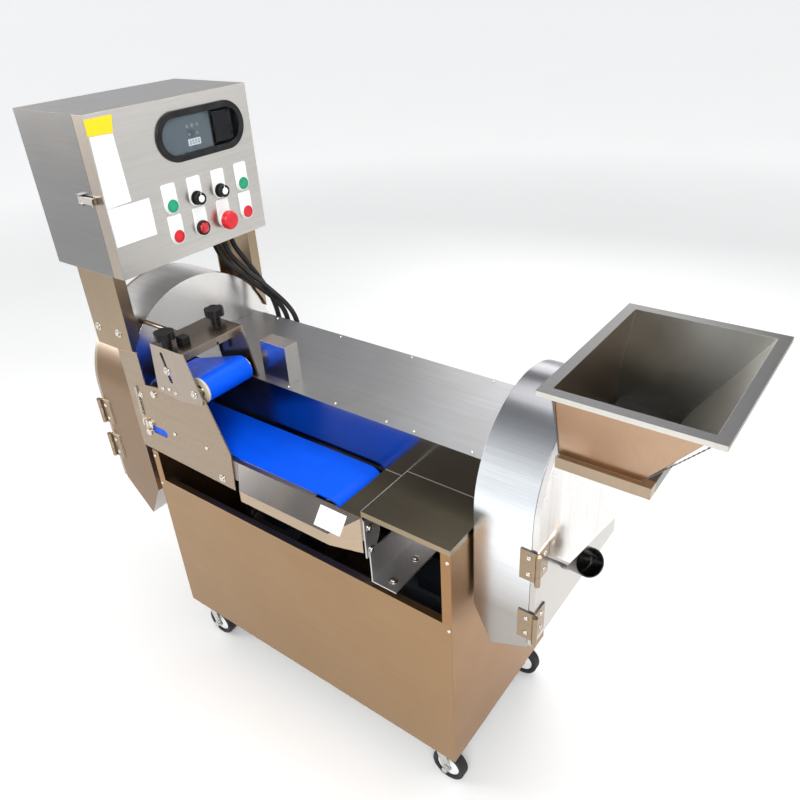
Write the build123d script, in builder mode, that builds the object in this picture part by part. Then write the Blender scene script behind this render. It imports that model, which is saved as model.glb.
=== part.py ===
"""Double-headed vegetable cutting machine on castors.

The feed belt runs to the leaf-cutting head on the left.  The hopper on the
right feeds the slicing head.  A control box stands on a column over the left
head.  Millimetres, +X to the hopper end, +Y to the back, +Z up.  The origin is
on the floor under the middle of the bounding box.
"""
import os
from math import atan2, cos, degrees, hypot, radians, sin, sqrt, tan

from build123d import *

os.makedirs("parts", exist_ok=True)

# Cabinet
cab_length = 800.0
cab_depth = 385.0
castor_height = 105.0
front_panel_height = 387.0
cover_height = 756.0
table_height = 668.0
belt_height = table_height - 14.0
sheet = 2.0
tube_size = 30.0
wall_from_front = 138.0
lip_fold = 15.0

# Overhangs of the cabinet, which set where the origin is
box_overhang = 204.0
rim_overhang = 368.0
tray_reach = 31.0

# Heads
left_radius = 213.0
left_centre_height = 690.0
left_gap = 22.0
left_depth = 122.0
right_radius = 178.0
right_centre_height = 713.0
right_centre_from_front = 240.0
right_gap = 6.0
right_depth = 106.0
head_skin = 3.0
door_depth = 10.0
door_skin = 2.5
door_inset = 1.0
door_gap = 0.5

# Fits
running_fit = 0.05
loose_gap = 0.3
seat_gap = 0.2

# Frame of the whole machine
half_length = (box_overhang + cab_length + rim_overhang) / 2
cab_left = -half_length + box_overhang
cab_right = cab_left + cab_length
cab_front = -(tray_reach + 2 * left_radius) / 2 + tray_reach
cab_back = cab_front + cab_depth
cab_bottom = castor_height
wall_front = cab_front + wall_from_front
front_top = cab_bottom + front_panel_height


def keep(piece, name):
    """Label a finished piece and write it as one STEP file."""
    piece.part.label = name
    export_step(piece.part, "parts/" + name + ".step")


def block(x0, x1, y0, y1, z0, z1, mode=Mode.ADD):
    """Box between two corners, in the part that is being built."""
    with Locations(((x0 + x1) / 2, (y0 + y1) / 2, (z0 + z1) / 2)):
        Box(abs(x1 - x0), abs(y1 - y0), abs(z1 - z0), mode=mode)


def rod_y(x, z, radius, y0, y1, mode=Mode.ADD):
    """Round bar along Y between y0 and y1."""
    with Locations(Location((x, (y0 + y1) / 2, z), (90, 0, 0))):
        Cylinder(radius, abs(y1 - y0), mode=mode)


def rod_x(y, z, radius, x0, x1, mode=Mode.ADD):
    """Round bar along X between x0 and x1."""
    with Locations(Location(((x0 + x1) / 2, y, z), (0, 90, 0))):
        Cylinder(radius, abs(x1 - x0), mode=mode)


def rod_z(x, y, radius, z0, z1, mode=Mode.ADD):
    """Round bar along Z between z0 and z1."""
    with Locations((x, y, (z0 + z1) / 2)):
        Cylinder(radius, abs(z1 - z0), mode=mode)


def belt_loop(plane, centres, radii, thickness, width):
    """Closed belt round two rollers, whose axes are normal to the plane."""
    with BuildPart() as loop:
        with BuildSketch(plane):
            for centre, radius in zip(centres, radii):
                with Locations(centre):
                    Circle(radius + thickness)
            make_hull()
        extrude(amount=width)
        with BuildSketch(plane):
            for centre, radius in zip(centres, radii):
                with Locations(centre):
                    Circle(radius)
            make_hull()
        extrude(amount=width, mode=Mode.SUBTRACT)
    return loop.part


# Cabinet frame of square tube
post_inset = sheet
inner_left = cab_left + post_inset
inner_right = cab_right - post_inset
inner_front = cab_front + post_inset
inner_back = cab_back - post_inset
partition_low = 480.0
front_post_top = front_top - 12.0
back_post_top = cover_height - sheet
pad_size = 60.0
pad_thickness = 3.0
king_pin_radius = 5.0
castor_inset = 48.0
castor_from_front = 32.0
castor_x = (cab_left + castor_inset, cab_right - castor_inset)
castor_y = (cab_front + castor_from_front, cab_back - castor_from_front)
motor_foot_height = cab_bottom + 2 * tube_size
motor_beam_x = {"left": (110.0, 230.0), "right": (540.0, 660.0)}

with BuildPart() as base_frame:
    block(inner_left, inner_right, inner_front, inner_front + tube_size,
          cab_bottom, cab_bottom + tube_size)
    block(inner_left, inner_right, inner_back - tube_size, inner_back,
          cab_bottom, cab_bottom + tube_size)
    for x in (inner_left, inner_right - tube_size):
        block(x, x + tube_size, inner_front, inner_back, cab_bottom, cab_bottom + tube_size)
        block(x, x + tube_size, inner_front, inner_front + tube_size, cab_bottom, front_post_top)
        block(x, x + tube_size, inner_back - tube_size, inner_back, cab_bottom, back_post_top)
    for pair in motor_beam_x.values():
        for beam in pair:
            block(cab_left + beam, cab_left + beam + tube_size, inner_front, inner_back,
                  cab_bottom + tube_size, motor_foot_height)
    block(inner_left, inner_right, inner_front, inner_back, cab_bottom + tube_size - sheet,
          cab_bottom + tube_size)
    for x in castor_x:
        for y in castor_y:
            block(x - pad_size / 2, x + pad_size / 2, y - pad_size / 2, y + pad_size / 2,
                  cab_bottom - pad_thickness, cab_bottom)
            rod_z(x, y, king_pin_radius + running_fit, cab_bottom - pad_thickness,
                  cab_bottom, Mode.SUBTRACT)
keep(base_frame, "base_frame")

with BuildPart() as cabinet_front_panel:
    block(inner_left, inner_right, cab_front, cab_front + sheet, cab_bottom, front_top)
    block(inner_left, inner_right, cab_front, cab_front + lip_fold, front_top - sheet, front_top)
keep(cabinet_front_panel, "cabinet_front_panel")

table_fold = 12.0
side_return = 20.0
left_panel_front_top = 572.0
barrel_radius = 32.0
left_shaft_y = cab_front + left_radius
right_shaft_y = cab_front + right_centre_from_front

with BuildPart() as side_panels:
    step_tops = {cab_left: left_panel_front_top, cab_right - sheet: table_height - table_fold}
    for x, step_top in step_tops.items():
        with BuildSketch(Plane.YZ.offset(x)):
            with BuildLine():
                Polyline((cab_front, cab_bottom), (cab_back, cab_bottom),
                         (cab_back, back_post_top), (wall_front + sheet, back_post_top),
                         (wall_front + sheet, step_top), (cab_front, step_top), close=True)
            make_face()
        extrude(amount=sheet)
        inward = x if x < 0 else x - side_return + sheet
        block(inward, inward + side_return, cab_front, cab_front + sheet, front_top + seat_gap, step_top)
    rod_x(left_shaft_y, left_centre_height, barrel_radius + 1, cab_left, cab_left + sheet,
          Mode.SUBTRACT)
    rod_x(right_shaft_y, right_centre_height, barrel_radius + 1, cab_right - sheet, cab_right,
          Mode.SUBTRACT)
keep(side_panels, "side_panels")

louvre_count = 6
louvre_pitch = 22.0
louvre_length = 150.0
louvre_rise = 8.0
louvre_low = 250.0
cable_radius = 6.0
cable_from_front = 403.0
cable_end = 668.0
cable_down_x = (104.0, 72.0, 40.0)
duct_low = 600.0
duct_top = 690.0

with BuildPart() as cabinet_back_panel:
    block(inner_left, inner_right, cab_back - sheet, cab_back, cab_bottom, back_post_top)
    for x in (cab_left + cab_length * 0.27, cab_left + cab_length * 0.73):
        for row in range(louvre_count):
            z = louvre_low + row * louvre_pitch
            block(x - louvre_length / 2, x + louvre_length / 2, cab_back - sheet, cab_back,
                  z, z + louvre_rise, Mode.SUBTRACT)
            with BuildSketch(Plane.YZ.offset(x - louvre_length / 2)):
                with BuildLine():
                    Polyline((cab_back - sheet, z + louvre_rise),
                             (cab_back - sheet, z + louvre_rise + sheet),
                             (cab_back + louvre_rise, z + sheet), (cab_back + louvre_rise, z),
                             close=True)
                make_face()
            extrude(amount=louvre_length)
    duct_ends = (cab_left + cable_down_x[-1] - 20, cab_left + cable_down_x[0] + 20)
    duct_face = 2 * (cab_front + cable_from_front) - cab_back
    block(*duct_ends, cab_back, duct_face, duct_low, duct_top)
    block(duct_ends[0] + sheet, duct_ends[1] - sheet, cab_back - sheet, duct_face - sheet,
          duct_low + sheet, duct_top - sheet, Mode.SUBTRACT)
    for x in cable_down_x:
        rod_z(cab_left + x, cab_front + cable_from_front, cable_radius + loose_gap,
              duct_top - sheet, duct_top, Mode.SUBTRACT)
keep(cabinet_back_panel, "cabinet_back_panel")

# Feed belt
belt_thickness = 3.0
belt_gap = 0.3
roller_radius = 24.0
roller_shaft_radius = 8.0
belt_from_front = 10.0
belt_width = 120.0
belt_right_end = 561.0
belt_left_end = -10.0
belt_reach = roller_radius + belt_gap + belt_thickness
roller_height = belt_height - belt_reach
drive_roller_x = cab_left + belt_right_end - belt_reach
tail_roller_x = cab_left + belt_left_end + belt_reach
rail_thickness = 4.0
rail_top = belt_height - 4.0
rail_depth = 50.0
rail_low = rail_top - rail_depth
rail_right_end = 618.0
front_rail_y = cab_front
back_rail_y = wall_front - rail_thickness
belt_y0 = cab_front + belt_from_front
belt_y1 = belt_y0 + belt_width
bed_thickness = 3.0
shaft_bore = roller_shaft_radius + running_fit
tie_radius = 8.0

with BuildPart() as conveyor_frame:
    for y in (front_rail_y, back_rail_y):
        block(tail_roller_x - roller_radius / 2, cab_left + rail_right_end, y, y + rail_thickness,
              rail_low, rail_top)
    bed_top = belt_height - belt_thickness - belt_gap
    block(tail_roller_x + roller_radius + 8, drive_roller_x - roller_radius - 8, front_rail_y,
          wall_front, rail_top - bed_thickness, rail_top)
    block(tail_roller_x + roller_radius + 8, drive_roller_x - roller_radius - 8, belt_y0, belt_y1,
          rail_top, bed_top)
    for x in (cab_left + 0.25 * cab_length, cab_left + 0.5 * cab_length):
        rod_y(x, roller_height, tie_radius, front_rail_y + rail_thickness, back_rail_y)
    for x in (tail_roller_x, drive_roller_x):
        rod_y(x, roller_height, shaft_bore, cab_front, wall_front, Mode.SUBTRACT)
keep(conveyor_frame, "conveyor_frame")

with BuildPart() as conveyor_belt:
    add(belt_loop(Plane.XZ.offset(-belt_y1),
                  ((tail_roller_x, roller_height), (drive_roller_x, roller_height)),
                  (roller_radius + belt_gap, roller_radius + belt_gap), belt_thickness, belt_width))
keep(conveyor_belt, "conveyor_belt")

gearbox_depth = 60.0
with BuildPart() as conveyor_drive_roller:
    rod_y(drive_roller_x, roller_height, roller_radius, belt_y0, belt_y1)
    rod_y(drive_roller_x, roller_height, roller_shaft_radius, cab_front - 6,
          wall_front + sheet + gearbox_depth)
keep(conveyor_drive_roller, "conveyor_drive_roller")

with BuildPart() as conveyor_tail_roller:
    rod_y(tail_roller_x, roller_height, roller_radius, belt_y0, belt_y1)
    rod_y(tail_roller_x, roller_height, roller_shaft_radius, cab_front - 6, wall_front)
keep(conveyor_tail_roller, "conveyor_tail_roller")

# Press belt over the left end of the feed belt
press_roller_radius = 23.0
press_drive_x = cab_left + 70.0
press_drive_z = belt_height + 84.0
press_nose_x = cab_left + 214.0
press_nose_z = belt_height + 129.0
press_belt_width = 110.0
press_belt_y0 = belt_y0 + (belt_width - press_belt_width) / 2
press_belt_y1 = press_belt_y0 + press_belt_width
arm_thickness = 4.0
arm_radius = 11.0
front_arm_y = cab_front + 4.0
back_arm_y = wall_front - 8.0
press_roller_ends = (press_belt_y0 - 3.0, press_belt_y1 + 3.0)

with BuildPart() as top_cover:
    cover_left = cab_left - left_gap + seat_gap
    cover_right = cab_right + right_gap - seat_gap
    block(cover_left, cover_right, wall_front, cab_back, cover_height - sheet, cover_height)
    block(cover_left, inner_left, wall_front, wall_front + sheet, left_panel_front_top, cover_height)
    block(inner_right, cover_right, wall_front, wall_front + sheet, table_height - table_fold,
          cover_height)
    block(inner_left, inner_right, wall_front, wall_front + sheet, partition_low, cover_height)
    block(cab_left, cab_right, cab_back, cab_back + sheet, cover_height - lip_fold, cover_height)
    rod_y(drive_roller_x, roller_height, roller_shaft_radius + 4, wall_front, wall_front + sheet,
          Mode.SUBTRACT)
    rod_y(press_drive_x, press_drive_z, shaft_bore, wall_front, wall_front + sheet, Mode.SUBTRACT)
keep(top_cover, "top_cover")

table_left = 614.0
strip_left = belt_right_end + 2.0

with BuildPart() as feed_table:
    block(cab_left + table_left, cab_right, cab_front, wall_front, table_height - sheet, table_height)
    block(cab_left + table_left, cab_right, cab_front, cab_front + sheet,
          table_height - table_fold, table_height)
    block(cab_right - sheet, cab_right, cab_front, wall_front,
          table_height - table_fold, table_height)
    block(cab_left + table_left, cab_left + table_left + sheet, cab_front, wall_front,
          rail_top, table_height)
    block(cab_left + strip_left, cab_left + table_left, cab_front + 2 * rail_thickness, wall_front,
          rail_top, rail_top + sheet)
    block(cab_left + strip_left, cab_left + table_left, cab_front, wall_front,
          rail_top, rail_top + sheet)
keep(feed_table, "feed_table")

tray_left = 300.0
lip_left = 328.0
lip_right = 558.0
tray_right = 612.0
lip_drop = 38.0
lip_depth = 26.0
cheek_depth = 81.0


def trough_form(inset):
    """Scoop along the front rail; with an inset, its hollow, which is open below and behind."""
    lip_y = cab_front - tray_reach + inset
    slope_top = rail_top - 2 * inset
    run = 1.5 * inset
    with BuildPart() as form:
        with BuildSketch(Plane.XY.offset(rail_top - cheek_depth - inset)):
            with BuildLine():
                Polyline((cab_left + tray_left + run, cab_front), (cab_left + tray_right - run, cab_front),
                         (cab_left + lip_right, lip_y), (cab_left + lip_left, lip_y), close=True)
            make_face()
        extrude(amount=cheek_depth)
        with BuildSketch(Plane.YZ.offset(cab_left + tray_left)):
            with BuildLine():
                lip_top = slope_top - lip_drop
                Polyline((cab_front, slope_top), (cab_front - tray_reach, lip_top),
                         (cab_front - tray_reach, rail_top - lip_drop - lip_depth - 2 * inset),
                         (cab_front, rail_top - cheek_depth - 2 * inset), close=True)
            make_face()
        extrude(amount=tray_right - tray_left, mode=Mode.INTERSECT)
    return form.part


with BuildPart() as front_trough:
    add(trough_form(0))
    add(trough_form(sheet), mode=Mode.SUBTRACT)
keep(front_trough, "front_trough")

plate_thickness = 3.0
window_x = 57.0
window_z = belt_height - 14.0

with BuildPart() as front_side_plate:
    with BuildSketch(Plane.XZ.offset(-cab_front)):
        with BuildLine():
            Polyline((cab_left - left_gap + 2, belt_height + 168),
                     (cab_left + 46, belt_height + 174), (cab_left + 46, belt_height + 99),
                     (cab_left + 238, belt_height + 122), (cab_left + 286, belt_height + 10),
                     (cab_left + 278, belt_height - 81), (cab_left - left_gap + 2,
                                                          belt_height - 74), close=True)
        make_face()
        with Locations((cab_left + window_x, window_z)):
            SlotOverall(50, 20, mode=Mode.SUBTRACT)
        for x, z in ((tail_roller_x, roller_height), (press_drive_x, press_drive_z)):
            with Locations((x, z)):
                Circle(shaft_bore, mode=Mode.SUBTRACT)
    extrude(amount=plate_thickness)
keep(front_side_plate, "front_side_plate")

# Bridge with its slotted brackets, and the two screws that set the press belt
bridge_top = belt_height + 213.0
bridge_left = 107.0
bridge_right = 204.0
bridge_back = 145.0
bridge_flange = 16.0
knob_x = cab_left + 145.0
stem_radius = 4.0
tie_rod_radius = 5.0
bracket_slot = Location((cab_left + 143, bridge_top - 45), 102)

with BuildPart() as press_bridge:
    front_y = cab_front - plate_thickness
    block(cab_left + bridge_left, cab_left + bridge_right, front_y, cab_front + bridge_back,
          bridge_top - plate_thickness, bridge_top)
    block(cab_left + bridge_right - plate_thickness, cab_left + bridge_right, front_y,
          cab_front + bridge_back, bridge_top - bridge_flange, bridge_top)
    for y in (front_arm_y + arm_thickness / 2, back_arm_y + arm_thickness / 2):
        rod_z(knob_x, y, stem_radius + running_fit, bridge_top - plate_thickness, bridge_top,
              Mode.SUBTRACT)
    with BuildSketch(Plane.XZ.offset(-front_y)):
        with BuildLine():
            Polyline((cab_left + bridge_left, bridge_top), (cab_left + bridge_right, bridge_top),
                     (cab_left + 238, belt_height + 122), (cab_left + 234, belt_height + 110),
                     (cab_left + 172, belt_height + 98), (cab_left + 97, belt_height + 104),
                     close=True)
        make_face()
        with Locations(bracket_slot):
            SlotOverall(68, 9, mode=Mode.SUBTRACT)
    extrude(amount=plate_thickness)
    with BuildSketch(Plane.XZ.offset(-(cab_front + bridge_back + plate_thickness))):
        with BuildLine():
            Polyline((cab_left + bridge_left, bridge_top), (cab_left + bridge_right, bridge_top),
                     (cab_left + 232, cover_height), (cab_left + 128, cover_height), close=True)
        make_face()
    extrude(amount=plate_thickness)
    rod_x(cab_front + 65, bridge_top - plate_thickness - tie_rod_radius, tie_rod_radius,
          cab_left - left_gap + seat_gap, cab_left + bridge_left + 20)
keep(press_bridge, "press_bridge")

knob_radius = 20.0
knob_lobes = 6
knob_thickness = 15.0
knob_height = bridge_top + 15.0
stem_low = bridge_top - 67.0


def star_knob(y):
    """Lobed hand knob on its threaded stem."""
    with BuildPart() as knob:
        with BuildSketch(Plane.XY.offset(knob_height)):
            with Locations((knob_x, y)):
                Circle(knob_radius)
                with PolarLocations(knob_radius + 3, knob_lobes):
                    Circle(6, mode=Mode.SUBTRACT)
        extrude(amount=knob_thickness)
        with BuildSketch(Plane.XY.offset(knob_height)):
            with Locations((knob_x, y)):
                Circle(11)
        extrude(amount=-(knob_height - bridge_top - seat_gap))
        rod_z(knob_x, y, stem_radius, stem_low, knob_height)
    return knob


star_knob_front = star_knob(front_arm_y + arm_thickness / 2)
keep(star_knob_front, "star_knob_front")
star_knob_back = star_knob(back_arm_y + arm_thickness / 2)
keep(star_knob_back, "star_knob_back")

with BuildPart() as press_frame:
    for y in (front_arm_y, back_arm_y):
        with BuildSketch(Plane.XZ.offset(-(y + arm_thickness))):
            for x, z in ((press_drive_x, press_drive_z), (press_nose_x, press_nose_z)):
                with Locations((x, z)):
                    Circle(arm_radius)
            make_hull()
            for x, z in ((press_drive_x, press_drive_z), (press_nose_x, press_nose_z)):
                with Locations((x, z)):
                    Circle(shaft_bore, mode=Mode.SUBTRACT)
        extrude(amount=arm_thickness)
    rod_y((press_drive_x + press_nose_x) / 2, (press_drive_z + press_nose_z) / 2, tie_rod_radius,
          front_arm_y + arm_thickness, back_arm_y)
keep(press_frame, "press_frame")

with BuildPart() as press_belt:
    add(belt_loop(Plane.XZ.offset(-press_belt_y1),
                  ((press_drive_x, press_drive_z), (press_nose_x, press_nose_z)),
                  (press_roller_radius + belt_gap, press_roller_radius + belt_gap),
                  belt_thickness, press_belt_width))
keep(press_belt, "press_belt")

with BuildPart() as press_drive_roller:
    rod_y(press_drive_x, press_drive_z, press_roller_radius, *press_roller_ends)
    rod_y(press_drive_x, press_drive_z, roller_shaft_radius, cab_front - 6, wall_front + 10)
keep(press_drive_roller, "press_drive_roller")

with BuildPart() as press_nose_roller:
    rod_y(press_nose_x, press_nose_z, press_roller_radius, *press_roller_ends)
    rod_y(press_nose_x, press_nose_z, roller_shaft_radius, front_arm_y - 3,
          back_arm_y + arm_thickness + 3)
keep(press_nose_roller, "press_nose_roller")

hood_x = (cab_left + 248.0, cab_left + 318.0)
hood_y = (wall_front + 12.0, wall_front + 48.0)
hood_height = 86.0

with BuildPart() as drive_cover:
    block(*hood_x, *hood_y, cover_height, cover_height + hood_height)
    block(hood_x[0] + sheet, hood_x[1] - sheet, hood_y[0] + sheet, hood_y[1] - sheet,
          cover_height, cover_height + hood_height - sheet, Mode.SUBTRACT)
keep(drive_cover, "drive_cover")

bracket_x = cab_left + rail_right_end
bracket_top = rail_top - 1.0
channel_top = bracket_top - 87.0
channel_low = channel_top - 62.0
channel_width = 56.0
bolt_heights = (bracket_top - 74.0, bracket_top - 24.0)

with BuildPart() as tension_bracket:
    with BuildSketch(Plane.YZ.offset(bracket_x)):
        with BuildLine():
            Polyline((cab_front - 2, bracket_top), (cab_front + 40, bracket_top),
                     (cab_front + 40, bracket_top - 49), (cab_front + 22, channel_top),
                     (cab_front - 2, channel_top), close=True)
        make_face()
        for z in bolt_heights:
            with Locations((cab_front + 12, z)):
                Circle(4.5, mode=Mode.SUBTRACT)
    extrude(amount=plate_thickness)
    with BuildSketch(Plane.XZ.offset(-wall_front)):
        with BuildLine():
            web_x = bracket_x + plate_thickness + seat_gap
            Polyline((web_x, channel_top + 12), (web_x + plate_thickness, channel_top + 12),
                     (web_x + plate_thickness, channel_low + plate_thickness),
                     (web_x + channel_width, channel_low + plate_thickness),
                     (web_x + channel_width, channel_low), (web_x, channel_low), close=True)
        make_face()
    extrude(amount=wall_from_front - 4)
keep(tension_bracket, "tension_bracket")

# Heads: round housings, open at the foot and towards their doors
class Head:
    """Sizes of one head; out is +1 where the door faces +X and -1 where it faces -X."""

    def __init__(self, out, inner, depth, y, z, radius, knee, run, low, mouth, door_low):
        self.out = out
        self.inner = inner
        self.outer = inner + out * depth
        self.depth = depth
        self.y = y
        self.z = z
        self.radius = radius
        self.knee = knee
        self.run = run
        self.low = low
        self.mouth = mouth
        self.door_low = door_low
        self.door_face = self.outer + out * (door_gap + door_depth)
        self.front = y - radius


left = Head(-1, cab_left - left_gap, left_depth, left_shaft_y, left_centre_height, left_radius,
            knee=444.0, run=50.0, low=357.0, mouth=436.0, door_low=440.0)
right = Head(1, cab_right + right_gap, right_depth, right_shaft_y, right_centre_height, right_radius,
             knee=503.0, run=36.0, low=424.0, mouth=457.0, door_low=462.0)


def head_form(head, inset, slack):
    """Outer form of a head with no inset, or its hollow, which runs past the open sides."""
    turn = atan2(head.run, head.knee - head.low)
    x_in = head.inner + head.out * inset
    knee = head.knee + inset * tan(turn / 2)
    length = hypot(head.run, head.knee - head.low) + slack
    x_low = x_in + head.out * length * sin(turn)
    z_low = knee - length * cos(turn)
    x_out = head.outer + head.out * slack
    top = head.z + head.radius + slack
    with BuildPart() as form:
        with BuildSketch(Plane.YZ.offset(min(head.inner, x_out) - slack)):
            with Locations((head.y, head.z)):
                Circle(head.radius - inset)
            with Locations((head.y, (head.z + z_low - slack) / 2)):
                Rectangle(2 * (head.radius - inset), head.z - z_low + slack)
        extrude(amount=abs(x_out - head.inner) + 2 * slack)
        with BuildSketch(Plane.XZ.offset(-head.y)):
            with BuildLine():
                Polyline((x_in, top), (x_in, knee), (x_low, z_low),
                         (x_out, head.mouth if slack == 0 else z_low), (x_out, top), close=True)
            make_face()
        extrude(amount=head.radius, both=True, mode=Mode.INTERSECT)
    return form.part


def door_blank(head, inset, x_from, thickness):
    """D-shaped slab with the outline of a head's door."""
    with BuildPart() as blank:
        with BuildSketch(Plane.YZ.offset(min(x_from, x_from + head.out * thickness))):
            with Locations((head.y, head.z)):
                Circle(head.radius - inset)
            with Locations((head.y, (head.z + head.door_low + inset) / 2)):
                Rectangle(2 * (head.radius - inset), head.z - head.door_low - inset)
        extrude(amount=thickness)
    return blank.part


# Butt hinges at the front corner of each door
hinge_height = 62.0
hinge_barrel = 5.0
hinge_pin = 2.5
hinge_leaf = 2.4
hinge_fixed_reach = 34.0
hinge_door_reach = 41.0
hinge_clear = 0.4
hinge_lows = {"left": (500.0, 595.0), "right": (480.0, 615.0)}


def hinge_axis(head):
    """Where the hinge axis of a head's door stands, in plan."""
    return head.door_face + head.out * hinge_barrel, head.front - hinge_barrel


def hinge_half(head, z_low, moving):
    """Fixed leaf with its pin, or the door's leaf, of one corner hinge."""
    x, y = hinge_axis(head)
    third = hinge_height / 3
    with BuildPart() as leaf:
        if moving:
            x_face = head.door_face + head.out * (hinge_leaf + loose_gap / 3)
            block(head.door_face + head.out * loose_gap / 3, x_face,
                  head.front + 2 * hinge_clear, y + hinge_door_reach, z_low, z_low + hinge_height)
            block(head.door_face + head.out * loose_gap / 3, x_face, y, head.front + 1,
                  z_low + third + hinge_clear, z_low + 2 * third - hinge_clear)
            rod_z(x, y, hinge_barrel, z_low + third + hinge_clear, z_low + 2 * third - hinge_clear)
            rod_z(x, y, hinge_pin + running_fit, z_low, z_low + hinge_height, Mode.SUBTRACT)
        else:
            y_face = head.front - loose_gap / 3
            x_step = head.door_face - head.out * (hinge_clear + 1)
            block(x - head.out * hinge_fixed_reach, x_step, y_face - hinge_leaf, y_face,
                  z_low, z_low + hinge_height)
            for z in (z_low, z_low + 2 * third):
                block(x_step, x, y_face - hinge_leaf, y_face, z, z + third)
                rod_z(x, y, hinge_barrel, z, z + third)
            rod_z(x, y, hinge_pin, z_low, z_low + hinge_height)
    return leaf.part


# Knife shafts, in bearing barrels welded to the inner walls of the heads
knife_shaft_radius = 12.5
barrel_length = 60.0
mouth_clear = 6.0
belt_mouth_top = 752.0

with BuildPart() as left_head_housing:
    add(head_form(left, 0, 0))
    add(head_form(left, head_skin, 40), mode=Mode.SUBTRACT)
    block(left.inner - head_skin - 1, left.inner + 1, cab_front + mouth_clear,
          wall_front - mouth_clear / 2, rail_low - mouth_clear, belt_mouth_top, Mode.SUBTRACT)
    rod_x(left.y, left.z, barrel_radius, left.inner - head_skin, left.inner + barrel_length)
    for y in (left.y - 60, left.y + 150):
        for z in (left.z - 180, left.z - 60):
            rod_x(y, z, 10, left.inner, cab_left)
    rod_x(left.y, left.z, knife_shaft_radius + running_fit, left.inner - head_skin - 1,
          left.inner + barrel_length + 1, Mode.SUBTRACT)
    for z in hinge_lows["left"]:
        add(hinge_half(left, z, False))
keep(left_head_housing, "left_head_housing")

with BuildPart() as right_head_housing:
    add(head_form(right, 0, 0))
    add(head_form(right, head_skin, 40), mode=Mode.SUBTRACT)
    rod_x(right.y, right.z, barrel_radius, right.inner - barrel_length,
          right.inner + head_skin + barrel_length / 2)
    for y in (right.y - 120, right.y + 120):
        for z in (right.z - 160, right.z - 20):
            rod_x(y, z, 10, cab_right, right.inner)
    rod_x(right.y, right.z, knife_shaft_radius + running_fit, right.inner - barrel_length - 1,
          right.inner + barrel_length, Mode.SUBTRACT)
    for z in hinge_lows["right"]:
        add(hinge_half(right, z, False))
keep(right_head_housing, "right_head_housing")

# Chute, feed tube and hopper on the right-hand door
chute_front = cab_front + 99.0
chute_back = cab_front + 300.0
chute_top = 830.0
chute_low = 630.0
chute_low_reach = 30.0
chute_top_reach = 132.0
chute_round = 22.0
chute_skin = 2.5
door_window_front = cab_front + 118.0
door_window_back = cab_front + 296.0
door_window_low = chute_low + 4.0
door_window_top = 806.0
tube_y = cab_front + 197.0
tube_z = 571.0
tube_radius = 25.4
tube_skin = 2.0
mouth_skin = 1.5
mouth_depth = 45.0
weld_width = 3.0
tube_reach = 80.0
tube_yaw = 40.0
tube_rise = 32.0
tube_axis = Vector(cos(radians(tube_rise)) * cos(radians(tube_yaw)),
                   -cos(radians(tube_rise)) * sin(radians(tube_yaw)), sin(radians(tube_rise)))
tube_plane = Plane(origin=(right.door_face, tube_y, tube_z), z_dir=tube_axis)


def tube_rod(radius, start, end, mode=Mode.ADD):
    """Round bar on the feed tube's axis, between two distances from the door's face."""
    with Locations(tube_plane.offset((start + end) / 2).location):
        Cylinder(radius, end - start, mode=mode)


def chute_form(inset, over):
    """Wedge of the chute inside its outer skin by a margin, run on past the door and the top."""
    face_x = right.door_face
    lean = (chute_top_reach - chute_low_reach) / (chute_top - chute_low)
    with BuildPart() as form:
        with BuildSketch(Plane.XZ.offset(-(chute_back - inset))):
            with BuildLine():
                Polyline((face_x - over, chute_top + over),
                         (face_x + chute_top_reach + over * lean - inset, chute_top + over),
                         (face_x + chute_low_reach - inset, chute_low + inset),
                         (face_x - over, chute_low + inset), close=True)
            make_face()
        extrude(amount=chute_back - chute_front - 2 * inset)
        lower_edges = form.edges().filter_by(Axis.X).group_by(Axis.Z)[0]
        fillet(lower_edges.sort_by(Axis.Y)[0], radius=chute_round - inset)
    return form.part


def door_tray(head):
    """Shallow tray that closes the head, with its skirt towards the housing."""
    with BuildPart() as tray:
        x_edge = head.outer + head.out * door_gap
        add(door_blank(head, door_inset, x_edge, door_depth))
        add(door_blank(head, door_inset + door_skin, x_edge - head.out, door_depth - door_skin + 1),
            mode=Mode.SUBTRACT)
    return tray.part


with BuildPart() as left_door:
    add(door_tray(left))
    for z in hinge_lows["left"]:
        add(hinge_half(left, z, True))
keep(left_door, "left_door")

with BuildPart() as right_door:
    add(door_tray(right))
    block(right.outer, right.door_face + 1, door_window_front, door_window_back,
          door_window_low, door_window_top, Mode.SUBTRACT)
    tube_rod(tube_radius + seat_gap, -tube_reach, tube_reach, Mode.SUBTRACT)
    for z in hinge_lows["right"]:
        add(hinge_half(right, z, True))
keep(right_door, "right_door")

with BuildPart() as feed_chute:
    add(chute_form(0, 0))
    add(chute_form(chute_skin, 1), mode=Mode.SUBTRACT)
keep(feed_chute, "feed_chute")

with BuildPart() as feed_tube:
    around = (tube_y - 4 * tube_radius, tube_y + 4 * tube_radius,
              tube_z - 4 * tube_radius, tube_z + 4 * tube_radius)
    tube_rod(tube_radius + weld_width, -tube_radius, tube_radius)
    block(right.door_face + weld_width, right.door_face + tube_reach, *around, Mode.SUBTRACT)
    block(right.inner, right.door_face, *around, Mode.SUBTRACT)
    tube_rod(tube_radius, -tube_reach, tube_reach)
    block(right.inner, right.outer + 1, *around, Mode.SUBTRACT)
    tube_rod(tube_radius - tube_skin, -tube_reach, tube_reach, Mode.SUBTRACT)
    tube_rod(tube_radius - mouth_skin, tube_reach - mouth_depth, tube_reach, Mode.SUBTRACT)
keep(feed_tube, "feed_tube")

flange_top = 849.0
throat_top = 850.0
hopper_top = 1000.0
rim_fold = 8.0
rim_width = 17.0
rim_left = cab_right + rim_overhang - 240.0
rim_right = cab_right + rim_overhang
rim_front = cab_front + 14.0
rim_back = cab_front + 334.0
flange_margin = 9.0


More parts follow.
